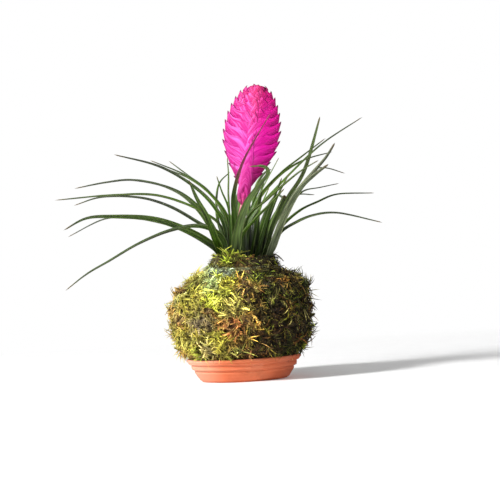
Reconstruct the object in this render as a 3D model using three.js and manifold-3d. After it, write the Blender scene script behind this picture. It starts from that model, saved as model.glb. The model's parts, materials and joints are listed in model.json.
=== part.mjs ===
// Moss ball plant: a pink quill plant with two shoots, grown in a moss-wrapped ball of soil
// that rests in a terracotta saucer. Millimetres, +Z up, origin under the middle of the saucer.

import * as THREE from "three";
import { mergeVertices } from "three/addons/utils/BufferGeometryUtils.js";
import Module from "manifold-3d";

const wasm = await Module();
wasm.setup();

// Saucer
const saucerRimRadius = 57.5;
const saucerFootRadius = 43;
const saucerHeight = 23;
const saucerFloor = 5;
const saucerWall = 4;
const grooveLevels = [16.5, 11];
const grooveDepth = 1.3;
const grooveHalfHeight = 1.1;
const saucerSides = 44;

// Moss ball
const mossRadius = 74;
const mossWidestLevel = 58;
const mossFoot = saucerFloor + 0.3;
const collarTop = 123;
const collarCentreX = 5;
const collarRoundness = 0.8;
const collarSquareness = 0.78;
const collarSlope = 2.5;
const collarStartsAt = 84;
const collarFullAt = 110;
const collarRelief = 0.45;
const collarLipRadius = 29.8;
const collarInsideRadius = 28.6;
const bareBySaucer = [22, 33];
const bareAboveNeck = [100, 106.5];
const bareBelowCollar = [114, 117];
const broadLumpShare = 0.5;
const smallLumpShare = 0.35;
const mossSides = 56;
const tuftHeight = 2;
const lumpHeight = 1.5;
const shoulderLevel = 89;
const shoulderBulge = 3;
const shoulderReach = 11;

// Binding thread in the groove of the neck
const threadLevel = 110.9;
const threadRadius = 0.9;
const threadTurns = [-1.3, 0, 1.3];
const threadGrooveRadius = 34.2;
const threadGap = 0.4;
const threadSteps = 34;

// Crown: two fused shoots on one rootstock
const mainShoot = { x: -4, y: 0, radius: 16.5 };
const sideShoot = { x: 18.5, y: 0, radius: 12 };
const domeFoot = 110;
const domeHeight = 8;
const plugFoot = 76;
const plugTaper = 0.55;
const neckTaper = 0.86;
const neckDepth = 5;
const seatGap = 0.3;
const rootLevel = 111;

// Flower
const stalkRadius = 2.6;
const spikeFoot = new THREE.Vector3(7.5, 1, 174);
const spikeTop = new THREE.Vector3(29.1, 1, 292);
const bractsPerSide = 12;
const spikeHalfWidth = 28.3;
const spikeHalfThickness = 7;
const bractHeight = 15;
const bractSpacing = 2.47;
const bractCrowding = 1.51;
const bractRunAtTop = 1.5;
const bractRunLower = 0.95;
const flankRise = 0.35;
const flankShare = 0.8;
const marginShare = 0.2;
const rachisProfile = [[0, 0], [2.8, 0], [5.4, 12], [6.4, 24], [3.5, 50], [2.5, 104], [0, 104]];

// Leaves
const leafSteps = 16;
const leafThickness = 1.25;
const leafTipWidth = 0.9;
const rootSwell = 0.66;
const bladeSwell = 1.3;
const swellsOver = 0.2;
const foldAtRoot = 26;
const foldAtTip = 34;
const eyeDistance = 1800;
const eyeX = 12;
const eyeLevel = 128.5;

const colours = {
  terracotta: "#d98d66",
  moss: "#8f8343",
  thread: "#a9ad93",
  soil: "#3b2c20",
  rootstock: "#5d5233",
  stalk: "#6f7d45",
  bracts: "#e0409f",
  leaf: "#4b6326",
  dryLeaf: "#8a6a46",
};

const degrees = Math.PI / 180;

function lerp(a, b, t) {
  return a + (b - a) * t;
}

function smooth(low, high, value) {
  return THREE.MathUtils.smoothstep(value, low, high);
}

// A small seeded generator, so that each build draws the same numbers.
function seeded(seed) {
  let state = seed;
  return () => {
    state = (state * 1664525 + 1013904223) % 4294967296;
    return state / 4294967296;
  };
}

// Meshes and solids

function geometryFrom(positions, triangles) {
  const geometry = new THREE.BufferGeometry();
  geometry.setAttribute("position", new THREE.Float32BufferAttribute(positions, 3));
  geometry.setIndex(triangles);
  return geometry;
}

function solidOf(geometry) {
  const plain = geometry.clone();
  plain.deleteAttribute("normal");
  plain.deleteAttribute("uv");
  const merged = mergeVertices(plain, 1e-4);
  const triVerts = new Uint32Array(merged.index.array);
  const vertProperties = new Float32Array(merged.attributes.position.array);
  return new wasm.Manifold(new wasm.Mesh({ numProp: 3, vertProperties, triVerts }));
}

function geometryOf(solid) {
  const mesh = solid.getMesh();
  return geometryFrom(mesh.vertProperties, Array.from(mesh.triVerts));
}

function namedMesh(name, geometry, colour, roughness) {
  const material = new THREE.MeshStandardMaterial({ color: colour, roughness, metalness: 0 });
  const mesh = new THREE.Mesh(geometry, material);
  mesh.name = name;
  return mesh;
}

// Turns a profile of [radius, height] about the Z axis.
function turned(profile, sides) {
  const points = profile.map(([radius, height]) => new THREE.Vector2(radius, height));
  const geometry = new THREE.LatheGeometry(points, sides);
  geometry.rotateX(Math.PI / 2);
  return geometry;
}

// Turns a closed skin the right way round, judged by the volume that it encloses.
function facingOut(positions, triangles) {
  const corner = (index) => new THREE.Vector3().fromArray(positions, 3 * index);
  let volume = 0;
  for (let i = 0; i < triangles.length; i += 3) {
    const [a, b, c] = triangles.slice(i, i + 3).map(corner);
    volume += a.dot(b.cross(c));
  }
  return geometryFrom(positions, volume < 0 ? triangles.reverse() : triangles);
}

// The largest body of a cut solid, without any loose scrap.
function largestBody(solid) {
  const bodies = solid.decompose();
  return bodies.sort((a, b) => b.volume() - a.volume())[0];
}

// Joins rings of points, all of one count, into a closed skin with a fan at each end.
function loft(rings, startPoint, endPoint) {
  const positions = [];
  const triangles = [];
  const count = rings[0].length;
  for (const ring of rings) {
    for (const point of ring) {
      positions.push(point.x, point.y, point.z);
    }
  }
  const start = positions.length / 3;
  positions.push(startPoint.x, startPoint.y, startPoint.z);
  const end = start + 1;
  positions.push(endPoint.x, endPoint.y, endPoint.z);
  for (let side = 0; side < count; side += 1) {
    const next = (side + 1) % count;
    triangles.push(start, next, side);
    const last = (rings.length - 1) * count;
    triangles.push(end, last + side, last + next);
    for (let row = 0; row < rings.length - 1; row += 1) {
      const a = row * count + side;
      const b = row * count + next;
      const c = a + count;
      const d = b + count;
      triangles.push(a, b, d, a, d, c);
    }
  }
  return facingOut(positions, triangles);
}

// Saucer: a turned bowl with a flat foot and two grooves round its wall

function saucerWallRadius(level) {
  return lerp(saucerFootRadius, saucerRimRadius, (level / saucerHeight) ** 0.85);
}

function makeSaucer() {
  const outside = [[0, 0], [saucerFootRadius - 1, 0], [saucerFootRadius, 1]];
  for (const level of [...grooveLevels].reverse()) {
    const radius = saucerWallRadius(level);
    outside.push([radius - 0.6, level - grooveHalfHeight * 1.7]);
    outside.push([radius - grooveDepth, level - grooveHalfHeight * 0.5]);
    outside.push([radius - grooveDepth, level + grooveHalfHeight * 0.5]);
    outside.push([radius + 0.9, level + grooveHalfHeight * 1.3]);
  }
  const rim = [
    [saucerRimRadius, saucerHeight - 2.4],
    [saucerRimRadius - 0.4, saucerHeight - 0.7],
    [saucerRimRadius - 1.7, saucerHeight],
    [saucerRimRadius - saucerWall + 0.8, saucerHeight - 0.4],
  ];
  const inside = [
    [saucerRimRadius - saucerWall - 0.4, saucerHeight - 3],
    [saucerFootRadius + 1, saucerFloor + 3],
    [saucerFootRadius - 3, saucerFloor],
    [0, saucerFloor],
  ];
  return turned([...outside, ...rim, ...inside], saucerSides);
}

// Moss: a thick shell with a lumpy, tufted skin, open at the collar

const mossOutline = new THREE.SplineCurve([
  new THREE.Vector2(44, 10.5),
  new THREE.Vector2(51, 17.5),
  new THREE.Vector2(54, 24),
  new THREE.Vector2(63, 31),
  new THREE.Vector2(70.5, 44),
  new THREE.Vector2(mossRadius, mossWidestLevel),
  new THREE.Vector2(72.5, 72),
  new THREE.Vector2(67, 86),
  new THREE.Vector2(58, 98),
  new THREE.Vector2(47.5, 104.8),
  new THREE.Vector2(39, 107),
  new THREE.Vector2(threadGrooveRadius - 0.3, 108.8),
  new THREE.Vector2(threadGrooveRadius - 0.6, 112.6),
  new THREE.Vector2(33.4, 115),
  new THREE.Vector2(32.6, 117.5),
  new THREE.Vector2(31.4, 120),
]);
const mossRows = 30;

const mossInside = [
  [collarInsideRadius, collarTop - 2.5],
  [collarInsideRadius, 112],
  [30.6, 106],
  [46, 97],
  [58, 82],
  [64, 62],
  [60, 38],
  [49, 20],
  [36, 13],
];
const mossFloor = 12;
const soilTop = 109.6;
const soilTopRadius = 26.8;
const soilGap = 0.4;

// Places a radius and height on the moss: round below, a squared oval off centre at the collar.
function mossPoint(radius, level, angle) {
  const share = smooth(collarStartsAt, collarFullAt, level);
  const shift = collarCentreX * smooth(collarStartsAt, collarTop, level);
  const power = lerp(1, collarSquareness, share);
  const cosine = Math.cos(angle);
  const sine = Math.sin(angle);
  const x = radius * Math.sign(cosine) * Math.abs(cosine) ** power;
  const y = radius * lerp(1, collarRoundness, share) * Math.sign(sine) * Math.abs(sine) ** power;
  return new THREE.Vector3(x + shift, y, level);
}

function mossLumps(angle, level) {
  const broad = Math.sin(3 * angle + 1.1 + level / 21) + Math.sin(5 * angle - level / 13);
  const small = Math.sin(9 * angle + level / 6) * Math.cos(level / 5 - 4 * angle);
  const shoulder = Math.cos(angle) * Math.exp(-(((level - shoulderLevel) / shoulderReach) ** 2));
  const lumps = broadLumpShare * broad + smallLumpShare * small;
  return lumpHeight * lumps + shoulderBulge * shoulder;
}

function makeMossWrap() {
  const draw = seeded(41);
  const rings = [];
  const addRing = (pointAt) => {
    const ring = [];
    for (let side = 0; side < mossSides; side += 1) {
      ring.push(pointAt((side / mossSides) * 2 * Math.PI));
    }
    rings.push(ring);
  };
  for (const radius of [22, 36]) {
    addRing((angle) => mossPoint(radius, mossFoot, angle));
  }
  for (let row = 0; row <= mossRows; row += 1) {
    const { x: radius, y: level } = mossOutline.getPoint(row / mossRows);
    const clearOfSaucer = smooth(...bareBySaucer, level);
    const belowThread = 1 - smooth(...bareAboveNeck, level);
    const aboveThread = smooth(...bareBelowCollar, level);
    const clearOfThread = Math.max(belowThread, aboveThread);
    const onCollar = lerp(1, collarRelief, smooth(bareAboveNeck[0], bareBelowCollar[0], level));
    const relief = clearOfSaucer * clearOfThread * onCollar;
    addRing((angle) => {
      const tuft = (draw() - 0.5) * 2 * tuftHeight;
      const swell = relief * (tuft + mossLumps(angle, level));
      return mossPoint(radius + swell, level + relief * (draw() - 0.5), angle);
    });
  }
  addRing((angle) => {
    const slope = collarSlope * Math.cos(angle);
    return mossPoint(collarLipRadius, collarTop - 1.2 - slope + draw() * 1.5, angle);
  });
  for (const [radius, level] of mossInside) {
    addRing((angle) => mossPoint(radius, level, angle));
  }
  const under = new THREE.Vector3(0, 0, mossFoot);
  const floor = new THREE.Vector3(0, 0, mossFloor);
  return loft(rings, under, floor);
}

// Rootstock: the fused stem bases of the two shoots, domed on top, plugged into the soil

function makeRootstockSolid(grow) {
  let whole = null;
  for (const shoot of [mainShoot, sideShoot]) {
    const radius = shoot.radius + grow;
    const profile = [[0, plugFoot - grow], [radius * plugTaper, plugFoot - grow]];
    profile.push([radius * neckTaper, domeFoot - neckDepth]);
    profile.push([radius, domeFoot]);
    for (let step = 1; step <= 4; step += 1) {
      const angle = (step / 5) * 90 * degrees;
      const level = domeFoot + (domeHeight + grow) * Math.sin(angle);
      profile.push([radius * Math.cos(angle), level]);
    }
    profile.push([0, domeFoot + domeHeight + grow]);
    const stem = turned(profile, 16);
    stem.translate(shoot.x, shoot.y, 0);
    const solid = solidOf(stem);
    whole = whole ? whole.add(solid) : solid;
  }
  return whole;
}

const rootstock = makeRootstockSolid(0);
const rootstockWithGap = makeRootstockSolid(seatGap);

// Soil: fills the moss shell up to the rootstock, with a plain hole for it

function makeSoilBall() {
  const profile = mossInside.filter(([, level]) => level < soilTop).reverse();
  const rings = [];
  const addRing = (radius, level) => {
    const ring = [];
    for (let side = 0; side < mossSides / 2; side += 1) {
      ring.push(mossPoint(radius, level, (side / mossSides) * 4 * Math.PI));
    }
    rings.push(ring);
  };
  for (const [radius, level] of profile) {
    addRing(radius - 2 * soilGap, level + (level < mossWidestLevel ? soilGap : -soilGap));
  }
  addRing(soilTopRadius, soilTop);
  const low = new THREE.Vector3(0, 0, mossFloor + soilGap);
  const high = new THREE.Vector3(collarCentreX, 0, soilTop);
  return geometryOf(solidOf(loft(rings, low, high)).subtract(rootstockWithGap));
}

// Binding thread: turns laid side by side round the neck, fused where they touch

function makeBindingThread() {
  const section = [];
  for (const offset of threadTurns) {
    section.push([0.5, offset - threadRadius * 0.75]);
    section.push([1.9, offset - threadRadius * 0.45]);
    section.push([1.9, offset + threadRadius * 0.45]);
  }
  section.push([0.5, threadTurns[2] + threadRadius * 0.75]);
  section.push([0, 0]);
  const positions = [];
  const triangles = [];
  const count = section.length;
  for (let step = 0; step < threadSteps; step += 1) {
    const angle = (step / threadSteps) * 2 * Math.PI;
    const sag = 0.2 * Math.sin(2 * angle + 0.6);
    section.forEach(([out, rise], side) => {
      const radius = threadGrooveRadius + threadGap + out;
      const place = mossPoint(radius, threadLevel, angle);
      positions.push(place.x, place.y, threadLevel + sag + rise);
      const next = (side + 1) % count;
      const a = step * count + side;
      const b = step * count + next;
      const c = ((step + 1) % threadSteps) * count + side;
      const d = ((step + 1) % threadSteps) * count + next;
      triangles.push(a, c, d, a, d, b);
    });
  }
  return facingOut(positions, triangles);
}

// Leaves: long channelled blades that taper to a fine tip

// The section is a shallow V: two margins, a channel above and a keel below.
function leafGeometry({ seat, route, width, turn, blunt = false }) {
  const places = [seatPoint(seat), ...route.map(placed)];
  const points = places.map(([x, y, z]) => new THREE.Vector3(x, y, z));
  const curve = new THREE.CatmullRomCurve3(points, false, "centripetal");
  const root = points[0];
  const tip = points[points.length - 1];
  const heading = Math.atan2(tip.y - root.y, tip.x - root.x);
  const level = new THREE.Vector3(-Math.sin(heading), Math.cos(heading), 0);
  const stations = curve.getPoints(leafSteps);
  const rings = [];
  let travelled = 0;
  for (let step = 0; step < leafSteps; step += 1) {
    const middle = stations[step];
    travelled += step > 0 ? middle.distanceTo(stations[step - 1]) : 0;
    const s = travelled / curve.getLength();
    const along = curve.getTangent(step / leafSteps);
    const across = level.clone().addScaledVector(along, -level.dot(along)).normalize();
    across.applyAxisAngle(along, turn * degrees);
    const up = new THREE.Vector3().crossVectors(across, along);
    const swell = lerp(rootSwell, bladeSwell, smooth(0, swellsOver, s));
    const taper = blunt ? 1 - 0.3 * s : (1 - s) ** 0.72;
    const halfWidth = 0.5 * (leafTipWidth + (width * swell - leafTipWidth) * taper);
    const fold = lerp(foldAtRoot, foldAtTip, s) * degrees;
    const edgeRise = halfWidth * Math.sin(fold) * 0.5;
    const reach = halfWidth * Math.cos(fold);
    const thick = 0.5 * leafThickness * (0.6 + 0.4 * taper);
    rings.push([
      middle.clone().addScaledVector(across, reach).addScaledVector(up, edgeRise),
      middle.clone().addScaledVector(up, thick - edgeRise),
      middle.clone().addScaledVector(across, -reach).addScaledVector(up, edgeRise),
      middle.clone().addScaledVector(up, -thick - edgeRise),
    ]);
  }
  return loft(rings, root, tip);
}

function makeLeaf(leaf) {
  const blade = solidOf(leafGeometry(leaf));
  return geometryOf(largestBody(blade.subtract(rootstockWithGap)));
}

// A seat on a shoot: a distance from its middle and a heading, 0 along +X and 90 along +Y.
function seatPoint([shoot, radius, heading]) {
  const x = shoot.x + radius * Math.cos(heading * degrees);
  const y = shoot.y + radius * Math.sin(heading * degrees);
  return [x, y, rootLevel];
}

// Routes are laid out as they look from straight in front, as [x, z, depth]. Perspective draws
// what lies deeper towards the eye's level, so the true place is spread out by the depth.
function placed([x, z, depth]) {
  const spread = 1 + depth / eyeDistance;
  return [eyeX + (x - eyeX) * spread, depth, eyeLevel + (z - eyeLevel) * spread];
}

// Leaves that show from the front, left to right, each with the points that its arch needs.
const shownLeaves = [
  { seat: [mainShoot, 8, 205], width: 7.2, turn: 10, route: [
    [-10.5, 150, -6.8], [-17.5, 169, -12.5], [-33.5, 189.5, -20], [-70, 215.5, -34],
    [-118.5, 231.5, -50]] },
  { seat: [mainShoot, 4.5, 150], width: 7, turn: 10, route: [
    [-6.5, 154.5, 5], [-11, 169, 10], [-25, 187.5, 18], [-46, 205.5, 28], [-82.5, 223.5, 45]] },
  { seat: [mainShoot, 8.5, 120], width: 4, turn: 0, route: [
    [-9.6, 150, 14], [-14.5, 171, 24], [-26, 190, 34], [-46, 207, 46], [-64, 222, 60]] },
  { seat: [mainShoot, 9.5, 160], width: 6.5, turn: 15, route: [
    [-19.5, 146, 8], [-33.5, 171, 14], [-57, 191.5, 24], [-101, 205, 40], [-129, 204, 50],
    [-160, 199.5, 60]] },
  { seat: [mainShoot, 9, 182], width: 6.5, turn: 10, route: [
    [-15, 152.5, 0], [-32.5, 169, 2], [-76, 188, 6], [-120, 191, 8], [-180, 189, 8]] },
  { seat: [mainShoot, 9, 219], width: 6.6, turn: 10, route: [
    [-20, 148, -10.8], [-34.5, 157, -16], [-64, 176, -28], [-92, 186.5, -38], [-133.5, 189.5, -48],
    [-161.5, 182.5, -56]] },
  { seat: [mainShoot, 13.5, 186], width: 8.5, turn: 55, route: [
    [-18.5, 127.5, -4], [-35, 143.5, -10], [-77.5, 164, -26], [-122, 170, -42], [-150, 169.5, -50],
    [-173, 158.5, -56]] },
  { seat: [mainShoot, 13, 160], width: 5, turn: 0, route: [
    [-20, 128, 9], [-38, 145, 18], [-65, 157, 28], [-104, 167, 42], [-131, 167.5, 50],
    [-169, 151.5, 60]] },
  { seat: [mainShoot, 12.5, 236], width: 8, turn: 20, route: [
    [-11, 128, -15.5], [-13.3, 141, -20.5], [-22, 150.5, -26], [-38.5, 156, -36], [-65.5, 153, -50],
    [-98, 141.5, -64], [-130.5, 124.8, -76], [-151.5, 114, -84], [-174.5, 98, -92]] },
  { seat: [mainShoot, 13, 208.5], width: 8, turn: 15, route: [
    [-17.1, 128.5, -12.3], [-22, 143, -28], [-29, 165, -50], [-38, 183.5, -70], [-45, 202, -92]] },
  { seat: [mainShoot, 8.5, 238], width: 3.5, turn: 0, route: [
    [-6, 145, -12], [-7, 172.5, -22], [-12.5, 188.5, -29], [-17, 204.5, -36]] },
  { seat: [mainShoot, 12, 112], width: 4, turn: 0, route: [
    [-13.5, 140, 26], [-18.5, 162, 38], [-18.5, 181.5, 50], [-14.5, 197.5, 60], [-3.5, 207.5, 72]] },
  { seat: [mainShoot, 4.5, 215], width: 5, turn: 40, route: [
    [-6.5, 150, -3], [-6.2, 187, -4], [-5.1, 204, -5], [-5.3, 222.5, -6]] },
  { seat: [mainShoot, 8, 272], width: 9.4, turn: 0, route: [
    [-1.5, 139, -14], [-2, 165.5, -24], [-1.5, 184, -33], [8.5, 214.5, -52], [29, 247.5, -72],
    [40.5, 264, -82]] },
  { seat: [mainShoot, 12.5, 272], width: 10.4, turn: 0, route: [
    [-1.5, 134, -20], [0.5, 147, -28], [11, 175.5, -48], [23.5, 192, -62], [34.5, 205.5, -76],
    [32, 211, -82], [15.5, 212, -86]] },
  { seat: [mainShoot, 4.5, 20], width: 4.5, turn: 0, route: [
    [6, 145, 3], [19, 174, 3], [29.5, 191.5, 3], [46.5, 219.5, 3]] },
  { seat: [mainShoot, 8.5, 40], width: 5.5, turn: 0, route: [
    [8, 145, 12], [23, 179.5, 26], [49.5, 205.5, 42], [67.5, 218, 52], [94, 236, 66]] },
  { seat: [mainShoot, 8.5, 340], width: 6, turn: 0, route: [
    [8, 145, -5], [19, 166, -6], [40.5, 187.5, -3], [70, 214.5, 6], [91.5, 231.5, 14],
    [132, 255, 28]] },
  { seat: [mainShoot, 11, 325], width: 6, turn: 0, route: [
    [7, 148, -13], [13, 163.5, -18], [31, 177.5, -27], [50, 192.5, -36], [67, 204.5, -44],
    [86, 214.5, -52]] },
  { seat: [mainShoot, 12.5, 303.5], width: 6.6, turn: 0, route: [
    [4, 141.5, -17.4], [18.5, 159, -30], [33, 172, -40], [50, 188, -54]] },
  { seat: [sideShoot, 9, 200], width: 7.5, turn: 30, route: [
    [14, 127, -4], [17.5, 142, -6], [21, 157, -9], [26, 172, -13], [35, 190, -18]] },
  { seat: [sideShoot, 7, 237], width: 6.7, turn: 0, route: [
    [20.5, 130, -9], [25, 143.5, -13], [34, 168, -20], [41, 184, -26], [48, 199, -34]] },
  { seat: [sideShoot, 3.5, 280], width: 5.5, turn: 0, route: [
    [25.5, 135, -6], [29.5, 150, -9], [37.5, 170, -13], [46, 187, -17], [56, 203, -22]] },
  { seat: [sideShoot, 7, 290], width: 7.6, turn: 0, blunt: true, route: [
    [30, 135, -12], [34.6, 151, -16], [42.6, 168, -21], [50, 181.5, -26]] },
  { seat: [sideShoot, 6.5, 60], width: 8, turn: 0, route: [
    [33, 145, 14], [44, 165, 20], [54, 181, 26], [65, 195.5, 32], [72, 208.5, 38], [89.5, 258, 58]] },
  { seat: [sideShoot, 7, 326], width: 9.2, turn: 0, route: [
    [34, 130, -8.5], [41, 146, -12], [53, 173, -22], [67, 190, -30], [84.5, 208, -40], [93, 217, -46],
    [103, 231, -54]] },
  { seat: [sideShoot, 9.3, 308], width: 11.6, turn: 0, route: [
    [32.4, 128, -14.8], [40, 145, -21], [48.5, 162, -32], [66, 188.5, -50], [80, 200, -60],
    [95.5, 210, -70]] },
  { seat: [sideShoot, 6.8, 15], width: 4.5, turn: 0, route: [
    [36, 138, 5], [51, 170, 13], [70, 193, 21], [84, 206, 27], [93.5, 206, 30], [111.5, 199.5, 34]] },
  { seat: [sideShoot, 9.5, 58], width: 4, turn: 0, route: [
    [28.5, 126, 12], [41, 145, 26], [55, 170, 44], [68, 184, 57], [85.5, 187, 68], [105, 190, 80]] },
  { seat: [sideShoot, 9, 28], width: 6, turn: 0, route: [
    [34.5, 131, 8.5], [44.5, 149.5, 14], [64.5, 165.5, 26], [82.5, 173, 34], [100, 179, 42],
    [139.5, 178.5, 56]] },
  { seat: [sideShoot, 8.8, 356], width: 7, turn: 0, route: [
    [35.2, 130, -1.5], [43.5, 144.5, -5], [58, 153, -12], [76, 159.5, -18], [99, 161, -26],
    [146, 148.5, -40]] },
];

// Leaves of the back, which lie behind the shown ones and fill the rosette all round.
const backLeaves = [
  { seat: [mainShoot, 13, 134], width: 7, turn: 0, route: [
    [-21, 140, 22], [-33, 166, 44], [-56, 190, 74], [-96, 204.5, 102], [-138, 203, 126]] },
  { seat: [mainShoot, 8.5, 92], width: 6, turn: 0, route: [
    [-6.4, 150, 21], [-12, 170, 33], [-24, 187, 44], [-42, 202, 64], [-66, 214, 90]] },
  { seat: [mainShoot, 12.5, 88], width: 7, turn: 0, route: [
    [-5, 135, 24], [-3, 160, 46], [2, 181, 74], [8, 190, 108], [14, 180, 146]] },
  { seat: [mainShoot, 8.5, 66], width: 6.5, turn: 0, route: [
    [0, 140, 15], [4, 170, 30], [10, 200, 50], [18, 222, 76], [24, 232, 110]] },
  { seat: [mainShoot, 12.5, 62], width: 6.5, turn: 0, route: [
    [7, 145, 24], [21, 176, 50], [45, 201, 78], [70, 215, 104], [100, 222, 132]] },
  { seat: [sideShoot, 10.5, 86], width: 7, turn: 0, route: [
    [28, 138, 24], [36, 158, 48], [48, 173, 78], [62, 181, 108], [80, 180, 140]] },
  { seat: [sideShoot, 10.5, 116], width: 9, turn: 0, route: [
    [20, 136, 22], [27, 157, 42], [35, 174, 68], [43, 182, 100], [50, 177, 136]] },
  { seat: [sideShoot, 6.5, 120], width: 6, turn: 0, route: [
    [17.5, 145, 13], [18, 170, 26], [22, 192, 42], [30, 204, 66], [38, 208, 96]] },
  { seat: [sideShoot, 3.5, 150], width: 7, turn: 0, route: [
    [19.5, 145, 4.5], [22, 166, 10], [26, 185, 18], [31, 201, 30]] },
  { seat: [sideShoot, 11, 158], width: 7, turn: 0, route: [
    [11.6, 135, 16], [12.2, 150, 24], [13, 170, 36], [16, 198, 58]] },
  { seat: [sideShoot, 10.3, 180], width: 5.5, turn: 0, route: [
    [8.8, 127, 0.5], [9.4, 140, 3], [12, 158, 8], [18, 176, 14], [27, 192, 22]] },
];

// Dry leaf: a short brown curl that hangs over the edge of the moss on the right.
const dryLeaf = { seat: [sideShoot, 11.5, 332], width: 2.8, turn: 0, route: [
  [32.4, 121.4, -6.2], [35, 122.9, -6.8], [38.6, 121.9, -7.6], [42.2, 118.9, -8.6],
  [45.2, 115.2, -9.6]] };

function makeLeaves() {
  const leaves = [];
  const add = (leaf) => {
    const number = String(leaves.length + 1).padStart(2, "0");
    leaves.push(namedMesh(`leaf_${number}`, makeLeaf(leaf), colours.leaf, 0.55));
  };
  [...shownLeaves, ...backLeaves].forEach(add);
  leaves.push(namedMesh("dry_leaf", makeLeaf(dryLeaf), colours.dryLeaf, 0.8));
  return leaves;
}

// Stalk: rises from the middle of the main shoot to the foot of the spike

function makeStalk() {
  const foot = new THREE.Vector3(mainShoot.x + 0.5, 0.5, domeFoot);
  const bend = new THREE.Vector3(0, 0.8, 146);
  const top = spikeFoot.clone().addScaledVector(spikeDirection(), -seatGap);
  const path = new THREE.CatmullRomCurve3([foot, bend, top]);
  const section = new THREE.Shape();
  section.absellipse(0, 0, stalkRadius, stalkRadius, 0, 2 * Math.PI);
  const settings = { steps: 6, curveSegments: 4, extrudePath: path, bevelEnabled: false };
  const stem = solidOf(new THREE.ExtrudeGeometry(section, settings));
  return geometryOf(stem.subtract(rootstockWithGap));
}

// Flower spike: two ranks of keeled bracts, flat like a quill, fused to one rachis

function spikeDirection() {
  return spikeTop.clone().sub(spikeFoot).normalize();
}

const spikeLength = spikeTop.distanceTo(spikeFoot);

// Half the spike's width at a distance below its top.
function spikeReach(below) {
  const q = THREE.MathUtils.clamp(below / spikeLength, 0.001, 0.999);
  const wave = Math.sin(Math.PI * q ** 0.78);
  const fullness = q < 0.411 ? 0.6 : 1.6;
  return Math.max(3.4, spikeHalfWidth * wave ** fullness);
}

// A bract is a closed wedge whose keel leaves the rachis outward and turns up to its tip.
function bractSolid(side, tipBelow) {
  const axis = spikeDirection();
  const outward = new THREE.Vector3(axis.z, 0, -axis.x).multiplyScalar(side);
  const front = new THREE.Vector3(0, -1, 0);
  const tipReach = spikeReach(tipBelow);
  const lean = lerp(bractRunAtTop, bractRunLower, smooth(0, 0.3, tipBelow / spikeLength));
  const run = Math.min(tipReach * lean, spikeLength - tipBelow - 1);
  const size = smooth(0, 26, tipReach + 8);
  const rings = [];
  for (const s of [0, 0.25, 0.5, 0.7, 0.85, 0.95]) {
    const reach = lerp(-1.5, tipReach, 1 - (1 - s) ** 1.5);
    const below = tipBelow + run * (1 - s);
    const shrink = (1 - s ** 3) ** 0.8;
    const height = bractHeight * size * shrink + 1;
    const thick = spikeHalfThickness * size * (0.12 + 0.88 * shrink * (1 - 0.45 * s));
    const keel = spikeTop.clone().addScaledVector(axis, -below).addScaledVector(outward, reach);
    const flank = keel.clone().addScaledVector(axis, height * flankRise);
    const margin = keel.clone().addScaledVector(axis, height).addScaledVector(outward, -1.5 * s);
    rings.push([
      keel,
      flank.clone().addScaledVector(front, thick * flankShare),
      margin.clone().addScaledVector(front, thick * marginShare),
      margin.clone().addScaledVector(front, -thick * marginShare),
      flank.clone().addScaledVector(front, -thick * flankShare),
    ]);
  }
  const rootPoint = rings[0][0].clone().lerp(rings[0][2], 0.5);
  const tipPoint = spikeTop.clone().addScaledVector(axis, -tipBelow);
  tipPoint.addScaledVector(outward, tipReach + 0.6);
  return solidOf(loft(rings, rootPoint, tipPoint));
}

function makeSpike() {
  const axis = spikeDirection();
  const upright = new THREE.Vector3(0, 0, 1);
  const lean = new THREE.Quaternion().setFromUnitVectors(upright, axis);
  const rachis = turned(rachisProfile, 8);
  rachis.applyQuaternion(lean).translate(spikeFoot.x, spikeFoot.y, spikeFoot.z);
  let whole = solidOf(rachis);
  for (let number = 1; number <= bractsPerSide; number += 1) {
    for (const side of [-1, 1]) {
      const order = number - (side > 0 ? 0.5 : 0);
      whole = whole.add(bractSolid(side, bractSpacing * order ** bractCrowding));
    }
  }
  return geometryOf(largestBody(whole));
}

const plant = new THREE.Group();
plant.add(namedMesh("saucer", makeSaucer(), colours.terracotta, 0.85));
plant.add(namedMesh("moss_wrap", makeMossWrap(), colours.moss, 0.95));
plant.add(namedMesh("soil_ball", makeSoilBall(), colours.soil, 0.95));
plant.add(namedMesh("binding_thread", makeBindingThread(), colours.thread, 0.6));
plant.add(namedMesh("rootstock", geometryOf(rootstock), colours.rootstock, 0.8));
plant.add(namedMesh("flower_stalk", makeStalk(), colours.stalk, 0.6));
plant.add(namedMesh("flower_spike", makeSpike(), colours.bracts, 0.5));
for (const leaf of makeLeaves()) {
  plant.add(leaf);
}

export default plant;
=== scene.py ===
# Moss ball plant: the looks of the saucer, moss, thread, leaves and pink spike, in metres.

import json
import math
import random

import bpy
import numpy as np
from mathutils import Matrix, Vector, noise

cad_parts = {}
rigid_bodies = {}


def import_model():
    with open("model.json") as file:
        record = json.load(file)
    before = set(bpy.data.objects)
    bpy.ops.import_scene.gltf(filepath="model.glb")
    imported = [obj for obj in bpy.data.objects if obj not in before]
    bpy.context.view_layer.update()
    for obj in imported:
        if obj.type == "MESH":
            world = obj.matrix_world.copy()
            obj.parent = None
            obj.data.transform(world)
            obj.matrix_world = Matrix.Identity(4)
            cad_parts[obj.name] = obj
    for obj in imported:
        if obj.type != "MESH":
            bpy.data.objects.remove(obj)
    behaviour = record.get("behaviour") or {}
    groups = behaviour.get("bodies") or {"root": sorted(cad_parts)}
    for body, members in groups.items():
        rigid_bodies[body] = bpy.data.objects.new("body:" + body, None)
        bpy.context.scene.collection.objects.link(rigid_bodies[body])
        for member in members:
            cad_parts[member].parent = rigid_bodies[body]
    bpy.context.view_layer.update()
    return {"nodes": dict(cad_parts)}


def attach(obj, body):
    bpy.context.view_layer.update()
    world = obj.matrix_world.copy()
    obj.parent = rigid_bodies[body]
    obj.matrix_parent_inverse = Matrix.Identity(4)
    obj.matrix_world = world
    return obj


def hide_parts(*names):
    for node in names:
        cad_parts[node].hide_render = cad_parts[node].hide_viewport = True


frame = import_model()
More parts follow.
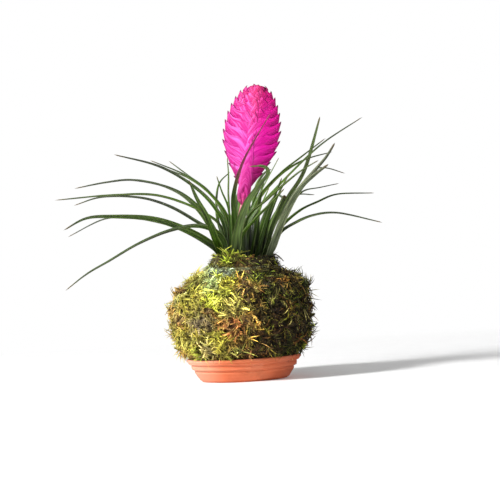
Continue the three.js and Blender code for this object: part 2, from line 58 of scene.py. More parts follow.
mm = 0.001
mossSeed = 5
noise.seed_set(mossSeed)  # the moss then lies the same way each time
print("frame loaded")

# Small helpers


def lerp(a, b, t):
    return a + (b - a) * t


def smooth(low, high, value):
    t = min(max((value - low) / (high - low), 0.0), 1.0)
    return t * t * (3 - 2 * t)


# A centripetal curve through the points.
def splinePoints(points, perSpan):
    pts = [np.array(p, float) for p in points]
    out = []
    last = len(pts) - 1
    for i in range(last):
        p1, p2 = pts[i], pts[i + 1]
        p0 = pts[i - 1] if i > 0 else 2 * p1 - p2
        p3 = pts[i + 2] if i + 2 <= last else 2 * p2 - p1
        d0 = math.sqrt(np.linalg.norm(p1 - p0)) or 1e-6
        d1 = math.sqrt(np.linalg.norm(p2 - p1)) or 1e-6
        d2 = math.sqrt(np.linalg.norm(p3 - p2)) or 1e-6
        t1 = ((p1 - p0) / d0 - (p2 - p0) / (d0 + d1) + (p2 - p1) / d1) * d1
        t2 = ((p2 - p1) / d1 - (p3 - p1) / (d1 + d2) + (p3 - p2) / d2) * d1
        for k in range(perSpan):
            t = k / perSpan
            out.append(p1 + t1 * t + (-3 * p1 + 3 * p2 - 2 * t1 - t2) * t * t
                       + (2 * p1 - 2 * p2 + t1 + t2) * t ** 3)
    out.append(pts[-1])
    return np.array(out)


# The same curve with count stations at even distances.
def evenly(points, count):
    steps = np.linalg.norm(np.diff(points, axis=0), axis=1)
    travelled = np.concatenate([[0], np.cumsum(steps)])
    wanted = np.linspace(0, travelled[-1], count)
    even = [np.interp(wanted, travelled, points[:, k]) for k in range(points.shape[1])]
    return np.stack(even, axis=1), travelled[-1]


# The angles of so many even steps round a circle.
def turns(sides):
    return [2 * math.pi * side / sides for side in range(sides)]


def addMesh(name, verts, faces, material, uvs=None, values=None):
    mesh = bpy.data.meshes.new(name)
    mesh.from_pydata([tuple(v) for v in verts], [], faces)
    mesh.materials.append(material)
    mesh.polygons.foreach_set("use_smooth", [True] * len(mesh.polygons))
    if uvs is not None:
        layer = mesh.uv_layers.new(name="uvMap")
        flat = np.array(uvs, float)[np.array([loop.vertex_index for loop in mesh.loops])]
        layer.data.foreach_set("uv", flat.ravel())
    for key, numbers in (values or {}).items():
        wide = len(np.shape(numbers)) == 2
        attribute = mesh.attributes.new(key, "FLOAT_COLOR" if wide else "FLOAT", "POINT")
        attribute.data.foreach_set("color" if wide else "value", np.array(numbers, float).ravel())
    mesh.update()
    piece = bpy.data.objects.new(name, mesh)
    bpy.context.scene.collection.objects.link(piece)
    return piece


# Gathers the vertices of a piece, given in millimetres, with a value for each attribute.
class Points:
    def __init__(self, *keys):
        self.verts, self.uvs = [], []
        self.values = {key: [] for key in keys}

    def add(self, spot, uv, *numbers):
        self.verts.append(spot * mm)
        self.uvs.append(uv)
        for key, number in zip(self.values, numbers):
            self.values[key].append(number)


def gridFaces(rows, columns, closedAcross, offset=0):
    faces = []
    for row in range(rows - 1):
        for column in range(columns if closedAcross else columns - 1):
            a = offset + row * columns + column
            b = offset + row * columns + (column + 1) % columns
            faces.append((a, b, b + columns, a + columns))
    return faces


# Triangles from one vertex to each side of a ring.
def fanFaces(centre, base, sides, flip=False):
    pairs = [(base + side, base + (side + 1) % sides) for side in range(sides)]
    return [(centre, *(pair[::-1] if flip else pair)) for pair in pairs]


# Turns a profile of (radius, height) that starts and ends on the axis.
def turnedMesh(name, profile, sides, material, wobble):
    inner = profile[1:-1]
    verts = [(0, 0, profile[0][1])]
    for radius, level in inner:
        for angle in turns(sides):
            r = radius + wobble(angle, level)
            verts.append((r * math.cos(angle), r * math.sin(angle), level))
    verts.append((0, 0, profile[-1][1]))
    last = 1 + (len(inner) - 1) * sides
    faces = fanFaces(0, 1, sides, flip=True) + fanFaces(len(verts) - 1, last, sides)
    faces += gridFaces(len(inner), sides, True, offset=1)
    return addMesh(name, verts, faces, material)


# Turns the faces of a closed piece outward.
def outward(piece):
    mesh = piece.data
    volume = 0.0
    for polygon in mesh.polygons:
        volume += polygon.center.dot(polygon.normal) * polygon.area
    if volume < 0:
        mesh.flip_normals()
    return piece


def place(piece, node):
    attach(piece, "root")
    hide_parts(node)


# Gives each input of a node its value, or the link to another node.
def fillInputs(tree, made, inputs):
    for key, value in inputs.items():
        if isinstance(value, bpy.types.NodeSocket):
            tree.links.new(value, made.inputs[key])
        else:
            made.inputs[key].default_value = value


def addNode(tree, kind, inputs, **settings):
    made = tree.nodes.new(kind)
    for key, value in settings.items():
        setattr(made, key, value)
    fillInputs(tree, made, inputs)
    return made


# A material's node tree, with short calls for the nodes that the finishes use.
class Shader:
    def __init__(self, name):
        self.material = bpy.data.materials.new(name)
        self.material.use_nodes = True
        self.tree = self.material.node_tree
        self.surface = self.tree.nodes["Principled BSDF"]

    def node(self, kind, inputs, **settings):
        return addNode(self.tree, kind, inputs, **settings)

    def coordinates(self, kind="Object"):
        return self.node("ShaderNodeTexCoord", {}).outputs[kind]

    def attribute(self, name, output="Fac"):
        return self.node("ShaderNodeAttribute", {}, attribute_name=name).outputs[output]

    def axis(self, vector, name):
        return self.node("ShaderNodeSeparateXYZ", {0: vector}).outputs[name]

    def noise(self, vector, scale, detail, roughness, distortion=0.0):
        return self.node("ShaderNodeTexNoise", {
            "Vector": vector, "Scale": scale, "Detail": detail, "Roughness": roughness,
            "Distortion": distortion}).outputs["Fac"]

    # Noise with a scale for each axis.
    def streaks(self, vector, scales, detail, roughness, distortion=0.0):
        mapping = self.node("ShaderNodeMapping", {"Vector": vector, "Scale": scales})
        return self.noise(mapping.outputs["Vector"], 1.0, detail, roughness, distortion)

    def maths(self, operation, first, second=0.0):
        return self.node("ShaderNodeMath", {0: first, 1: second}, operation=operation).outputs[0]

    def within(self, value, low, high, first=0.0, second=1.0):
        return self.node("ShaderNodeMapRange", {
            "Value": value, "From Min": low, "From Max": high, "To Min": first,
            "To Max": second}).outputs["Result"]

    # Stops of plain factors, which may pass 1.
    def levels(self, value, stops):
        made = self.node("ShaderNodeValToRGB", {"Fac": value})
        elements = made.color_ramp.elements
        while len(elements) < len(stops):
            elements.new(0.5)
        for element, (position, factors) in zip(elements, stops):
            element.position = position
            element.color = (*factors, 1)
        return made.outputs["Color"]

    # Stops of colours, each of 0 to 255.
    def ramp(self, value, stops):
        return self.levels(value, [(position, linear(*colour)) for position, colour in stops])

    # A colour here is a socket or numbers of 0 to 255.
    def mix(self, amount, first, second, blend="MIX"):
        first, second = ((*linear(*colour), 1) if isinstance(colour, tuple) else colour
                         for colour in (first, second))
        return self.node("ShaderNodeMix", {0: amount, 6: first, 7: second}, data_type="RGBA",
                         blend_type=blend).outputs[2]

    # Lays a colour over the base as the value goes from low to high, as far as the share.
    def over(self, base, value, low, high, share, colour):
        return self.mix(self.within(value, low, high, 0.0, share), base, colour)

    def bump(self, height, strength, distance, below=None):
        inputs = {"Height": height, "Strength": strength, "Distance": distance}
        if below is not None:
            inputs["Normal"] = below
        return self.node("ShaderNodeBump", inputs).outputs["Normal"]

    def finish(self, colour, roughness, normal=None, **others):
        inputs = {"Base Color": colour, "Roughness": roughness}
        if normal is not None:
            inputs["Normal"] = normal
        for key, value in others.items():
            inputs[key.replace("_", " ")] = value
        fillInputs(self.tree, self.surface, inputs)
        return self.material


# An sRGB colour of 0 to 255 as linear values.
def linear(red, green, blue):
    values = [c / 255 for c in (red, green, blue)]
    return tuple(c / 12.92 if c <= 0.04045 else ((c + 0.055) / 1.055) ** 2.4 for c in values)


# Saucer

saucerLook = {
    "rimRadius": 57.5, "footRadius": 43, "height": 23, "floor": 5, "wall": 4, "bead": 2.0,
    "footRound": 1.1, "wallEnds": 3.4, "flare": 0.85, "wallRows": 63, "sides": 180,
    "grooves": [16.5, 11], "grooveDepth": 1.3, "ridge": 0.75, "unevenness": 0.12,
}


def clayMaterial():
    s = Shader("firedClay")
    at = s.coordinates()
    cloud = s.noise(at, 28, 5, 0.6)
    grain = s.noise(at, 900, 3, 0.7)
    rings = s.streaks(at, (6, 6, 900), 3, 0.6)
    base = s.ramp(cloud, [(0.25, (188, 92, 56)), (0.5, (206, 108, 70)),
                          (0.78, (218, 128, 90))])
    base = s.over(base, rings, 0.35, 0.75, 0.25, (228, 150, 112))
    base = s.over(base, grain, 0.55, 0.8, 0.5, (184, 96, 62))
    bloom = s.streaks(at, (40, 40, 90), 6, 0.65, 0.6)
    high = s.within(s.axis(at, "Z"), 0.012, 0.024)
    chalk = s.maths("MULTIPLY", s.within(bloom, 0.54, 0.74, 0.0, 0.4), high)
    base = s.mix(chalk, base, (236, 200, 176))
    # Painted light on the left of the saucer, painted shade on the right.
    beside = s.axis(at, "X")
    base = s.over(base, beside, -0.02, -0.055, 0.5, (226, 192, 168))
    base = s.over(base, beside, 0.01, 0.05, 0.55, (164, 64, 36))
    damp = s.within(s.noise(at, 60, 4, 0.6), 0.58, 0.74, 0.0, 0.3)
    base = s.mix(damp, base, (150, 84, 58))
    lines = s.bump(rings, 0.35, 0.0004)
    rough = s.bump(grain, 0.4, 0.0003, lines)
    return s.finish(base, s.within(grain, 0.2, 0.8, 0.78, 0.96), rough, Specular_IOR_Level=0.3)


def saucerProfile():
    look = saucerLook
    foot, rim, floor = look["footRadius"], look["rimRadius"], look["floor"]
    outside = [(0, 0), (20, 0), (38, 0), (foot - 1.2, 0.05), (foot - 0.3, 0.35),
               (foot, look["footRound"])]
    climb = look["height"] - look["wallEnds"] - look["footRound"]
    for step in range(1, look["wallRows"] + 1):
        level = look["footRound"] + step * climb / look["wallRows"]
        radius = lerp(foot, rim, (level / look["height"]) ** look["flare"])
        # Each groove has a low ridge above it.
        for groove in look["grooves"]:
            away = (level - groove) / 1.15
            radius -= look["grooveDepth"] * math.exp(-away * away * 1.6)
            above = (level - groove - 2.0) / 1.1
            radius += look["ridge"] * math.exp(-above * above * 1.4)
        outside.append((radius, level))
    # The rim ends in a round bead.
    bead = look["bead"]
    rounded = []
    for degrees in range(-12, 189, 20):
        angle = math.radians(degrees)
        rounded.append((rim - bead + bead * math.cos(angle),
                        look["height"] - bead + bead * math.sin(angle)))
    inside = [(rim - look["wall"] - 0.6, look["height"] - 4.5), (foot + 4, floor + 5.5),
              (foot + 0.6, floor + 1.8), (foot - 2, floor + 0.2), (foot - 5, floor), (0, floor)]
    return [(radius * mm, level * mm) for radius, level in outside + rounded + inside]


def saucerWobble(angle, level):
    turn = noise.noise(Vector((math.cos(angle) * 2, math.sin(angle) * 2, level * 90)))
    return saucerLook["unevenness"] * mm * turn


def makeSaucer():
    saucer = turnedMesh("claySaucer", saucerProfile(), saucerLook["sides"], clayMaterial(),
                        saucerWobble)
    place(outward(saucer), "saucer")


makeSaucer()
print("saucer")

# Moss bed

# The lip runs over the top of the collar and down inside it, as (radius, level).
mossLook = {
    "foot": 5.3, "collarTop": 123, "collarCentre": 5, "roundness": 0.8, "squareness": 0.78,
    "startsAt": 84, "fullAt": 110, "slope": 2.5, "rows": 120, "sides": 200,
    "shoulder": 6.0, "clump": 13, "clumpSwell": 4.4, "lipAbove": 118,
    "lip": [(29.6, 121.8), (28.7, 121.2), (28.7, 114), (10, 110.2)],
}
# The bedding lies a sprig's height inside the moss's outline.
mossOutline = [(44, 10.5), (48.5, 17.5), (50.5, 24), (58.6, 31), (64.3, 44), (67.2, 58), (66, 72),
               (61.8, 86), (54, 95.5), (46, 102.5), (38.2, 107), (34.2, 110.5), (33, 114),
               (32.2, 117.5), (30.6, 120.5)]


def mossPoint(radius, level, angle):
    share = smooth(mossLook["startsAt"], mossLook["fullAt"], level)
    shift = mossLook["collarCentre"] * smooth(mossLook["startsAt"], mossLook["collarTop"], level)
    power = lerp(1, mossLook["squareness"], share)
    cosine, sine = math.cos(angle), math.sin(angle)
    x = radius * math.copysign(abs(cosine) ** power, cosine)
    y = radius * lerp(1, mossLook["roundness"], share) * math.copysign(abs(sine) ** power, sine)
    return Vector((x + shift, y, level))


# Patches of the front and sides: middle (x, z) as seen from the front, reach and tint.
mossPatches = [
    ((21, 99), 8, 6, (172, 196, 66)), ((-20, 108), 13, 5, (196, 214, 204)),
    ((-30, 101), 9, 6, (204, 220, 188)), ((-8, 106), 10, 4, (176, 190, 168)),
    ((6, 104), 9, 7, (112, 98, 82)), ((-40, 98), 14, 8, (196, 190, 88)),
    ((-18, 88), 12, 10, (176, 170, 72)), ((-28, 92), 8, 7, (190, 204, 150)),
    ((-8, 74), 12, 8, (198, 178, 92)), ((4, 88), 8, 7, (120, 92, 74)),
    ((-14, 60), 11, 7, (176, 116, 62)), ((-6, 56), 8, 8, (150, 92, 56)),
    ((-36, 60), 12, 9, (150, 130, 104)), ((-44, 72), 10, 8, (190, 174, 74)),
    ((-6, 42), 13, 8, (214, 172, 84)), ((-24, 40), 8, 8, (190, 176, 68)),
    ((14, 68), 10, 9, (184, 158, 88)), ((30, 60), 10, 8, (112, 90, 54)),
    ((30, 46), 18, 12, (84, 60, 34)), ((46, 84), 10, 9, (122, 132, 54)),
    ((34, 78), 8, 8, (160, 150, 96)), ((56, 56), 10, 14, (84, 78, 46)),
    ((-54, 44), 12, 10, (178, 176, 76)), ((62, 30), 10, 7, (128, 130, 46)),
    ((20, 30), 20, 6, (120, 84, 50)), ((-60, 66), 8, 8, (204, 168, 96)),
    ((-10, 120), 9, 7, (158, 172, 56)), ((22, 116), 12, 6, (92, 94, 58)),
]
mossSunny = [(190, 190, 60), (220, 200, 84), (170, 156, 56), (214, 162, 76), (222, 208, 128),
             (158, 166, 54), (150, 106, 58), (208, 184, 70)]
mossShady = [(118, 112, 40), (100, 72, 38), (88, 104, 36), (160, 120, 58), (120, 136, 44),
             (78, 56, 30), (158, 134, 76), (132, 118, 50)]


# The clump of moss that a place in millimetres belongs to: a number drawn for the clump,
# and how far the place is from the furrow round it, 0 to 1.
def mossClump(point):
    spot = Vector(point)
    warp = noise.noise_vector(spot / 8) * 4.0
    distances, centres = noise.voronoi((spot + warp) / mossLook["clump"])
    nearest = centres[0]
    drawn = math.sin(nearest.x * 12.9898 + nearest.y * 78.233 + nearest.z * 37.719) * 43758.5
    return abs(drawn) % 1, smooth(0.0, 0.42, distances[1] - distances[0])


def mossTint(point, pick, swell):
    x, y, z = point
    index = int(pick * len(mossSunny))
    # Painted light and shade: each moss colour goes from its lit copy on the left to its shaded
    # copy on the right.
    side = smooth(-34, 34, x + 0.2 * (60 - z))
    colour = Vector(mossSunny[index]).lerp(Vector(mossShady[index]), side)
    if y < 25:
        for (px, pz), rx, rz, tint in mossPatches:
            fray = 1 + 0.6 * noise.noise(Vector((x, y, z)) / 6 + Vector((px, pz, 0)))
            away = ((x - px) / rx) ** 2 + ((z - pz) / rz) ** 2
            colour = colour.lerp(Vector(tint), 0.75 * smooth(1.25, 0.55, away * fray))
    across = smooth(-10, 33, x)
    tone = lerp(0.32, 1.3, swell) * lerp(1.8, 0.52, across)  # painted shade in the furrows, painted light on the left and painted shade to the right
    tone *= lerp(1, 0.8, smooth(84, 96, z) * smooth(4, 20, x))  # painted shade on the right shoulder
    tone *= lerp(0.8, 1, smooth(-66, -40, x))  # less painted light at the far left
    tone *= lerp(1, 0.62, smooth(-34, -4, y) * smooth(-10, -40, x))  # less painted light on the left side, further back
    tone *= lerp(1, 1.3, smooth(94, 99, z) * smooth(112, 108, z) * smooth(16, 4, x))  # pale neck
    tone *= lerp(1, 0.82, smooth(111, 115, z))  # painted shade on the collar, darkest away from the main shoot
    shaded = lerp(0.85, 0.42, smooth(-6, 6, x))
    tone *= lerp(1, shaded, smooth(112, 116, z) * smooth(0, 6, abs(x + 8)))
    red, green, blue = Vector(linear(*colour)) * tone
    # Greener higher up; painted light makes the left bluer and painted shade makes the right less
    # green.
    greener = lerp(0.98, 1.1, smooth(50, 85, z))
    return (red, green * greener * lerp(1, 0.82, across), blue * lerp(1.15, 0.85, across), 1)


# The sprigs of the collar stand tallest in front of the main shoot.
def collarRise(point):
    return 1.25 * math.exp(-((point.x + 8) / 8) ** 2) if point.y < 0 else 0.1


def makeMossBed():
    look = mossLook
    sides = look["sides"]
    outline = evenly(splinePoints(mossOutline, 24), look["rows"])[0]
    points = Points("tint", "cover", "size", "lift")
    for radius, level in [(22, look["foot"]), (36, look["foot"] + 0.1), *outline]:
        onNeck = smooth(101, 107, level) * (1 - smooth(113, 116, level))
        onCollar = smooth(113, 117, level)
        onFoot = 1 - smooth(22, 33, level)
        cover = smooth(20, 25, level) * lerp(1, 1.3, onNeck)
        relief = (1 - onFoot) * (1 - onNeck) * lerp(1, 0.4, onCollar)
        lift = lerp(-0.3, 0.35, smooth(20, 100, level)) + 1.0 * (1 - smooth(25, 38, level))
        for angle in turns(sides):
            around = Vector((math.cos(angle), math.sin(angle), level / 70))
            pick, swell = mossClump(mossPoint(radius, level, angle))
            # Clumps swell between their furrows, and the right shoulder stands out.
            lumps = look["clumpSwell"] * (swell - 0.6)
            lumps += 1.5 * noise.noise(around * 3.1 + Vector((5, 2, 9)))
            lumps += 0.7 * noise.noise(around * 22.0)
            shoulder = max(math.cos(angle), 0) * math.exp(-(((level - 94) / 10) ** 2))
            r = radius + relief * (lumps + look["shoulder"] * shoulder)
            point = mossPoint(r, level, angle)
            size = lerp(lerp(1, 0.8, onNeck), 0.55 + collarRise(point), onCollar)
            size *= lerp(1, 0.75, onFoot)
            points.add(point, None, mossTint(point, pick, swell), cover,
                       size * lerp(0.75, 1.05, swell), lerp(lift, 1.5, onCollar))
    for radius, level in look["lip"]:
        onLip = level > look["lipAbove"]
        for angle in turns(sides):
            raised = level
            if onLip:
                fray = 0.8 * noise.noise(Vector((math.cos(angle), math.sin(angle), level)) * 9)
                raised = level - look["slope"] * math.cos(angle) + fray
            point = mossPoint(radius, raised, angle)
            points.add(point, None, mossTint(point, *mossClump(point)), 1.0 if onLip else 0.0,
                       0.6 + collarRise(point), 1.5)
    last = len(points.verts) - sides
    faces = gridFaces(last // sides + 1, sides, True)
    for middle, level in ((0, look["foot"]), (look["collarCentre"], look["lip"][-1][1])):
        points.add(Vector((middle, 0, level)), None, (0.02, 0.015, 0.01, 1), 0, 0.5, 0)
    faces += fanFaces(len(points.verts) - 2, 0, sides, flip=True)
    faces += fanFaces(len(points.verts) - 1, last, sides)
    return addMesh("mossBed", points.verts, faces, bedMaterial(), values=points.values)


def bedMaterial():
    s = Shader("mossBedding")
    at = s.coordinates()
    crumbs = s.noise(at, 700, 4, 0.7)
    threads = s.streaks(at, (900, 300, 500), 3, 0.6, 1.5)
    # The bedding is dark brown, its own colour and painted shade under the sprigs.
    base = s.mix(0.82, s.attribute("tint", "Color"), (44, 34, 18))
    base = s.over(base, threads, 0.45, 0.7, 0.5, (88, 70, 38))
    base = s.over(base, crumbs, 0.5, 0.75, 0.6, (26, 19, 10))
    return s.finish(base, 0.95, s.bump(crumbs, 0.8, 0.0012))


mossBed = outward(makeMossBed())
place(mossBed, "moss_wrap")
print("moss bed")

# Moss sprigs

# Curve is how late a sprig leans over, droop how far it sinks back.
sprigLook = {
    "feather": {"length": 10.6, "stem": 0.66, "curve": 1.5, "droop": 0.42, "branch": 2.5,
                "pairs": 6},
    "strand": {"length": 10.8, "stem": 0.6, "curve": 1.6, "droop": 0.55, "strands": 2},
    "tuft": {"length": 5.8, "stem": 0.5, "curve": 1.3, "droop": 0.2, "blades": 5},
}
quarters = [0, 0.25, 0.5, 0.75, 1]


def taperedStrand(store, path, radii, shares):
    verts, faces, along = store
    base = len(verts)
    count = len(path) - 1
    for k in range(count):
        direction = (path[k + 1] - path[max(k - 1, 0)]).normalized()
        aside = direction.orthogonal().normalized()
        across = direction.cross(aside)
        for angle in turns(3):
            verts.append(path[k] + (aside * math.cos(angle) + across * math.sin(angle)) * radii[k])
            along.append(shares[k])
    verts.append(path[-1])
    along.append(shares[-1])
    faces += gridFaces(count, 3, True, offset=base)
    faces += fanFaces(len(verts) - 1, base + 3 * (count - 1), 3)
    faces.append((base + 2, base + 1, base))


# A place along a sprig that leans over and bends aside.
def sprigPoint(look, s, lean, bend):
    return Vector((lean * s ** look["curve"], bend * s * s, s * (1 - look["droop"] * s)))


# A stem with pairs of side branches, shorter towards the tip.
def featherSprig(draw, look):
    store = ([], [], [])
    lean, bend = draw.uniform(0.6, 1.05), draw.uniform(-0.6, 0.6)
    path = [sprigPoint(look, s, lean, bend) * look["length"] for s in quarters]
    taperedStrand(store, path, [look["stem"] * f for f in (0.9, 0.9, 0.7, 0.5)], quarters)
    for pair in range(look["pairs"]):
        s = 0.24 + 0.66 * pair / (look["pairs"] - 1)
        spot = sprigPoint(look, s, lean, bend) * look["length"]
        ahead = Vector((lean * look["curve"] * s ** (look["curve"] - 1), 2 * bend * s,
                        1 - 2 * look["droop"] * s)).normalized()
        reach = look["branch"] * (1 - 0.55 * s) * draw.uniform(0.8, 1.15)
        for side in (-1, 1):
            out = (Vector((draw.uniform(-0.2, 0.3), side, 0.1)) + ahead * 0.75).normalized()
            taperedStrand(store, [spot, spot + out * reach], [look["stem"] * 0.62],
                          [s * 0.8, min(s * 0.8 + 0.4, 1)])
    return store


# Long thin strands that curl over.
def strandSprig(draw, look):
    store = ([], [], [])
    for index in range(look["strands"]):
        turn = Matrix.Rotation(draw.uniform(0, 6.28), 3, "Z")
        lean, curl = draw.uniform(0.55, 1.2), draw.uniform(-0.95, 0.95)
        length = look["length"] * draw.uniform(0.7, 1.1)
        path = [turn @ (sprigPoint(look, s, lean, curl) * length) for s in quarters]
        taperedStrand(store, path, [look["stem"] * f for f in (1, 1, 0.85, 0.6)], quarters)
    return store


# Short blades all round, like a star.
def tuftSprig(draw, look):
    store = ([], [], [])
    for blade in range(look["blades"]):
        around = 2 * math.pi * (blade + draw.uniform(-0.3, 0.3)) / look["blades"]
        turn = Matrix.Rotation(around, 3, "Z")
        lean = draw.uniform(0.3, 1.0)
        length = look["length"] * draw.uniform(0.75, 1.15)
        path = [turn @ (sprigPoint(look, s, lean, 0) * length) for s in (0, 0.5, 1)]
        taperedStrand(store, path, [look["stem"], look["stem"] * 0.8], [0, 0.5, 1])
    return store


def sprigCollection(name, maker, look, forms, seed):
    draw = random.Random(seed)
    collection = bpy.data.collections.new(name)
    for index in range(forms):
        verts, faces, along = maker(draw, look)
        mesh = bpy.data.meshes.new(f"{name}{index}")
        mesh.from_pydata([tuple(v * mm) for v in verts], [], faces)
        attribute = mesh.attributes.new("along", "FLOAT", "POINT")
        attribute.data.foreach_set("value", along)
        collection.objects.link(bpy.data.objects.new(f"{name}{index}", mesh))
    return collection


def mossMaterial():
    s = Shader("livingMoss")
    at = s.coordinates()
    along, shade, hue = (s.attribute(key) for key in ("along", "shade", "hue"))
    base = s.over(s.attribute("tint", "Color"), shade, 0.86, 0.98, 0.45, (196, 190, 124))
    base = s.over(base, shade, 0.16, 0.04, 0.7, (108, 66, 32))
    base = s.over(base, hue, 0.7, 0.95, 0.45, (124, 146, 40))
    # On the side toward the light the tips are painted paler, a painted highlight, and light and
    # dark stand closer together there.
    beside = s.axis(at, "X")
    toShade = s.within(beside, -0.04, 0.01)
    toSun = s.within(beside, 0.01, -0.04)
    tipHighlight = s.maths("MULTIPLY", s.within(along, 0.45, 1.0, 0.0, 0.4), toSun)
    base = s.mix(tipHighlight, base, (200, 184, 112))
    # Painted shade deep among the sprigs at their bases, painted light at their tips.
    lightness = s.levels(along, [(0.0, (0.03, 0.025, 0.02)), (0.3, (0.2, 0.19, 0.16)),
                                 (0.6, (0.8, 0.8, 0.76)), (1.0, (1.6, 1.6, 1.5))])
    base = s.mix(1.0, base, lightness, "MULTIPLY")
    # Each sprig is lighter or darker at random; on the shaded side the spread is wider, with
    # painted highlights and painted shade.
    toneAndShadeDraw = s.maths("FRACT", s.maths("MULTIPLY", hue, 7.3))
    calm = s.levels(toneAndShadeDraw, [(0.0, (0.7, 0.66, 0.58)), (0.5, (1.0, 1.0, 1.0)),
                             (1.0, (1.06, 1.1, 1.25))])
    lively = s.levels(toneAndShadeDraw, [(0.0, (0.12, 0.11, 0.09)), (0.55, (0.55, 0.55, 0.51)),
                               (1.0, (2.9, 2.9, 2.5))])
    base = s.mix(1.0, base, s.mix(toShade, calm, lively), "MULTIPLY")
    speckle = s.noise(at, 1500, 2, 0.6)
    # Fine mottling, milder on the lit side; on the shaded side it is stronger and also paints
    # highlights and shade.
    leaflets = s.noise(at, 620, 2, 0.5)
    soft = s.levels(leaflets, [(0.32, (0.72, 0.7, 0.66)), (0.5, (1.0, 1.0, 0.98)),
                               (0.68, (1.22, 1.22, 1.2))])
    sharp = s.levels(leaflets, [(0.32, (0.34, 0.32, 0.28)), (0.5, (0.9, 0.9, 0.87)),
                                (0.68, (1.9, 1.87, 1.75))])
    base = s.mix(1.0, base, s.mix(toShade, soft, sharp), "MULTIPLY")
    base = s.over(base, speckle, 0.45, 0.75, 0.15, (60, 48, 24))
    return s.finish(base, s.within(speckle, 0.3, 0.7, 0.6, 0.85), Specular_IOR_Level=0.3)


def sprigTree(name, collection, material):
    tree = bpy.data.node_groups.new(name, "GeometryNodeTree")
    face = tree.interface
    face.new_socket("Geometry", in_out="INPUT", socket_type="NodeSocketGeometry")
    ids = {}
    for label in ("Density", "Seed", "Smallest", "Largest", "Tilt"):
        kind = "NodeSocketInt" if label == "Seed" else "NodeSocketFloat"
        ids[label] = face.new_socket(label, in_out="INPUT", socket_type=kind).identifier
    face.new_socket("Geometry", in_out="OUTPUT", socket_type="NodeSocketGeometry")

    def add(kind, inputs, **settings):
        return addNode(tree, kind, inputs, **settings)

    def named(label):
        reader = add("GeometryNodeInputNamedAttribute", {"Name": label}, data_type="FLOAT")
        return reader.outputs["Attribute"]

    def maths(operation, first, second):
        return add("ShaderNodeMath", {0: first, 1: second}, operation=operation).outputs[0]

    given = add("NodeGroupInput", {}).outputs

    def drawn(low, high, offset):
        seed = add("FunctionNodeIntegerMath", {0: given["Seed"], 1: offset}, operation="ADD")
        inputs = {2: low, 3: high, "Seed": seed.outputs[0]}
        return add("FunctionNodeRandomValue", inputs, data_type="FLOAT").outputs[1]

    scatter = add("GeometryNodeDistributePointsOnFaces", {
        "Mesh": given["Geometry"], "Seed": given["Seed"],
        "Density": maths("MULTIPLY", given["Density"], named("cover"))})
    # Each sprig stands out from the bedding and leans up or down by the lift there.
    upward = add("ShaderNodeCombineXYZ", {2: named("lift")})
    heading = add("ShaderNodeVectorMath", {0: scatter.outputs["Normal"], 1: upward.outputs[0]},
                  operation="ADD")
    stand = add("FunctionNodeAlignRotationToVector", {"Vector": heading.outputs[0]}, axis="Z")
    # Sprigs that stand near each other are combed the same way, more or less.
    spot = add("GeometryNodeInputPosition", {})
    comb = add("ShaderNodeTexNoise", {"Vector": spot.outputs[0], "Scale": 38, "Detail": 1})
    facing = add("ShaderNodeMapRange", {
        "Value": comb.outputs[0], "From Min": 0.3, "From Max": 0.7,
        "To Min": -math.pi, "To Max": math.pi})
    turn = add("ShaderNodeCombineXYZ", {
        0: drawn(-0.35, 0.35, 17), 1: drawn(0.0, given["Tilt"], 19),
        2: maths("ADD", facing.outputs[0], drawn(-1.1, 1.1, 11))})
    rotate = add("FunctionNodeRotateRotation", {
        "Rotation": stand.outputs[0], "Rotate By": turn.outputs[0]}, rotation_space="LOCAL")
    sprigs = add("GeometryNodeCollectionInfo", {
        "Collection": collection, "Separate Children": True, "Reset Children": True})
    size = maths("MULTIPLY", drawn(given["Smallest"], given["Largest"], 23), named("size"))
    instance = add("GeometryNodeInstanceOnPoints", {
        "Points": scatter.outputs["Points"], "Instance": sprigs.outputs[0],
        "Pick Instance": True, "Rotation": rotate.outputs[0], "Scale": size})
    geometry = instance.outputs["Instances"]
    for label, offset in (("shade", 37), ("hue", 51)):
        stored = add("GeometryNodeStoreNamedAttribute", {
            "Geometry": geometry, "Name": label, "Value": drawn(0.0, 1.0, offset)},
            data_type="FLOAT", domain="INSTANCE")
        geometry = stored.outputs["Geometry"]
    realize = add("GeometryNodeRealizeInstances", {"Geometry": geometry})
    paint = add("GeometryNodeSetMaterial", {"Geometry": realize.outputs[0], "Material": material})
    add("NodeGroupOutput", {0: paint.outputs[0]})
    return tree, ids


def growMoss(name, bed, collection, material, inputs):
    tree, ids = sprigTree(name + "Tree", collection, material)
    modifier = bed.modifiers.new(name, "NODES")
    modifier.node_group = tree
    for label, value in inputs.items():
        modifier[ids[label]] = value
    bpy.context.view_layer.update()
    depsgraph = bpy.context.evaluated_depsgraph_get()
    mesh = bpy.data.meshes.new_from_object(bed.evaluated_get(depsgraph),
                                           preserve_all_data_layers=True, depsgraph=depsgraph)
    bed.modifiers.remove(modifier)
    mesh.name = name
    piece = bpy.data.objects.new(name, mesh)
    bpy.context.scene.collection.objects.link(piece)
    mesh.calc_loop_triangles()
    print(name, len(mesh.loop_triangles), "triangles")
    place(piece, "moss_wrap")


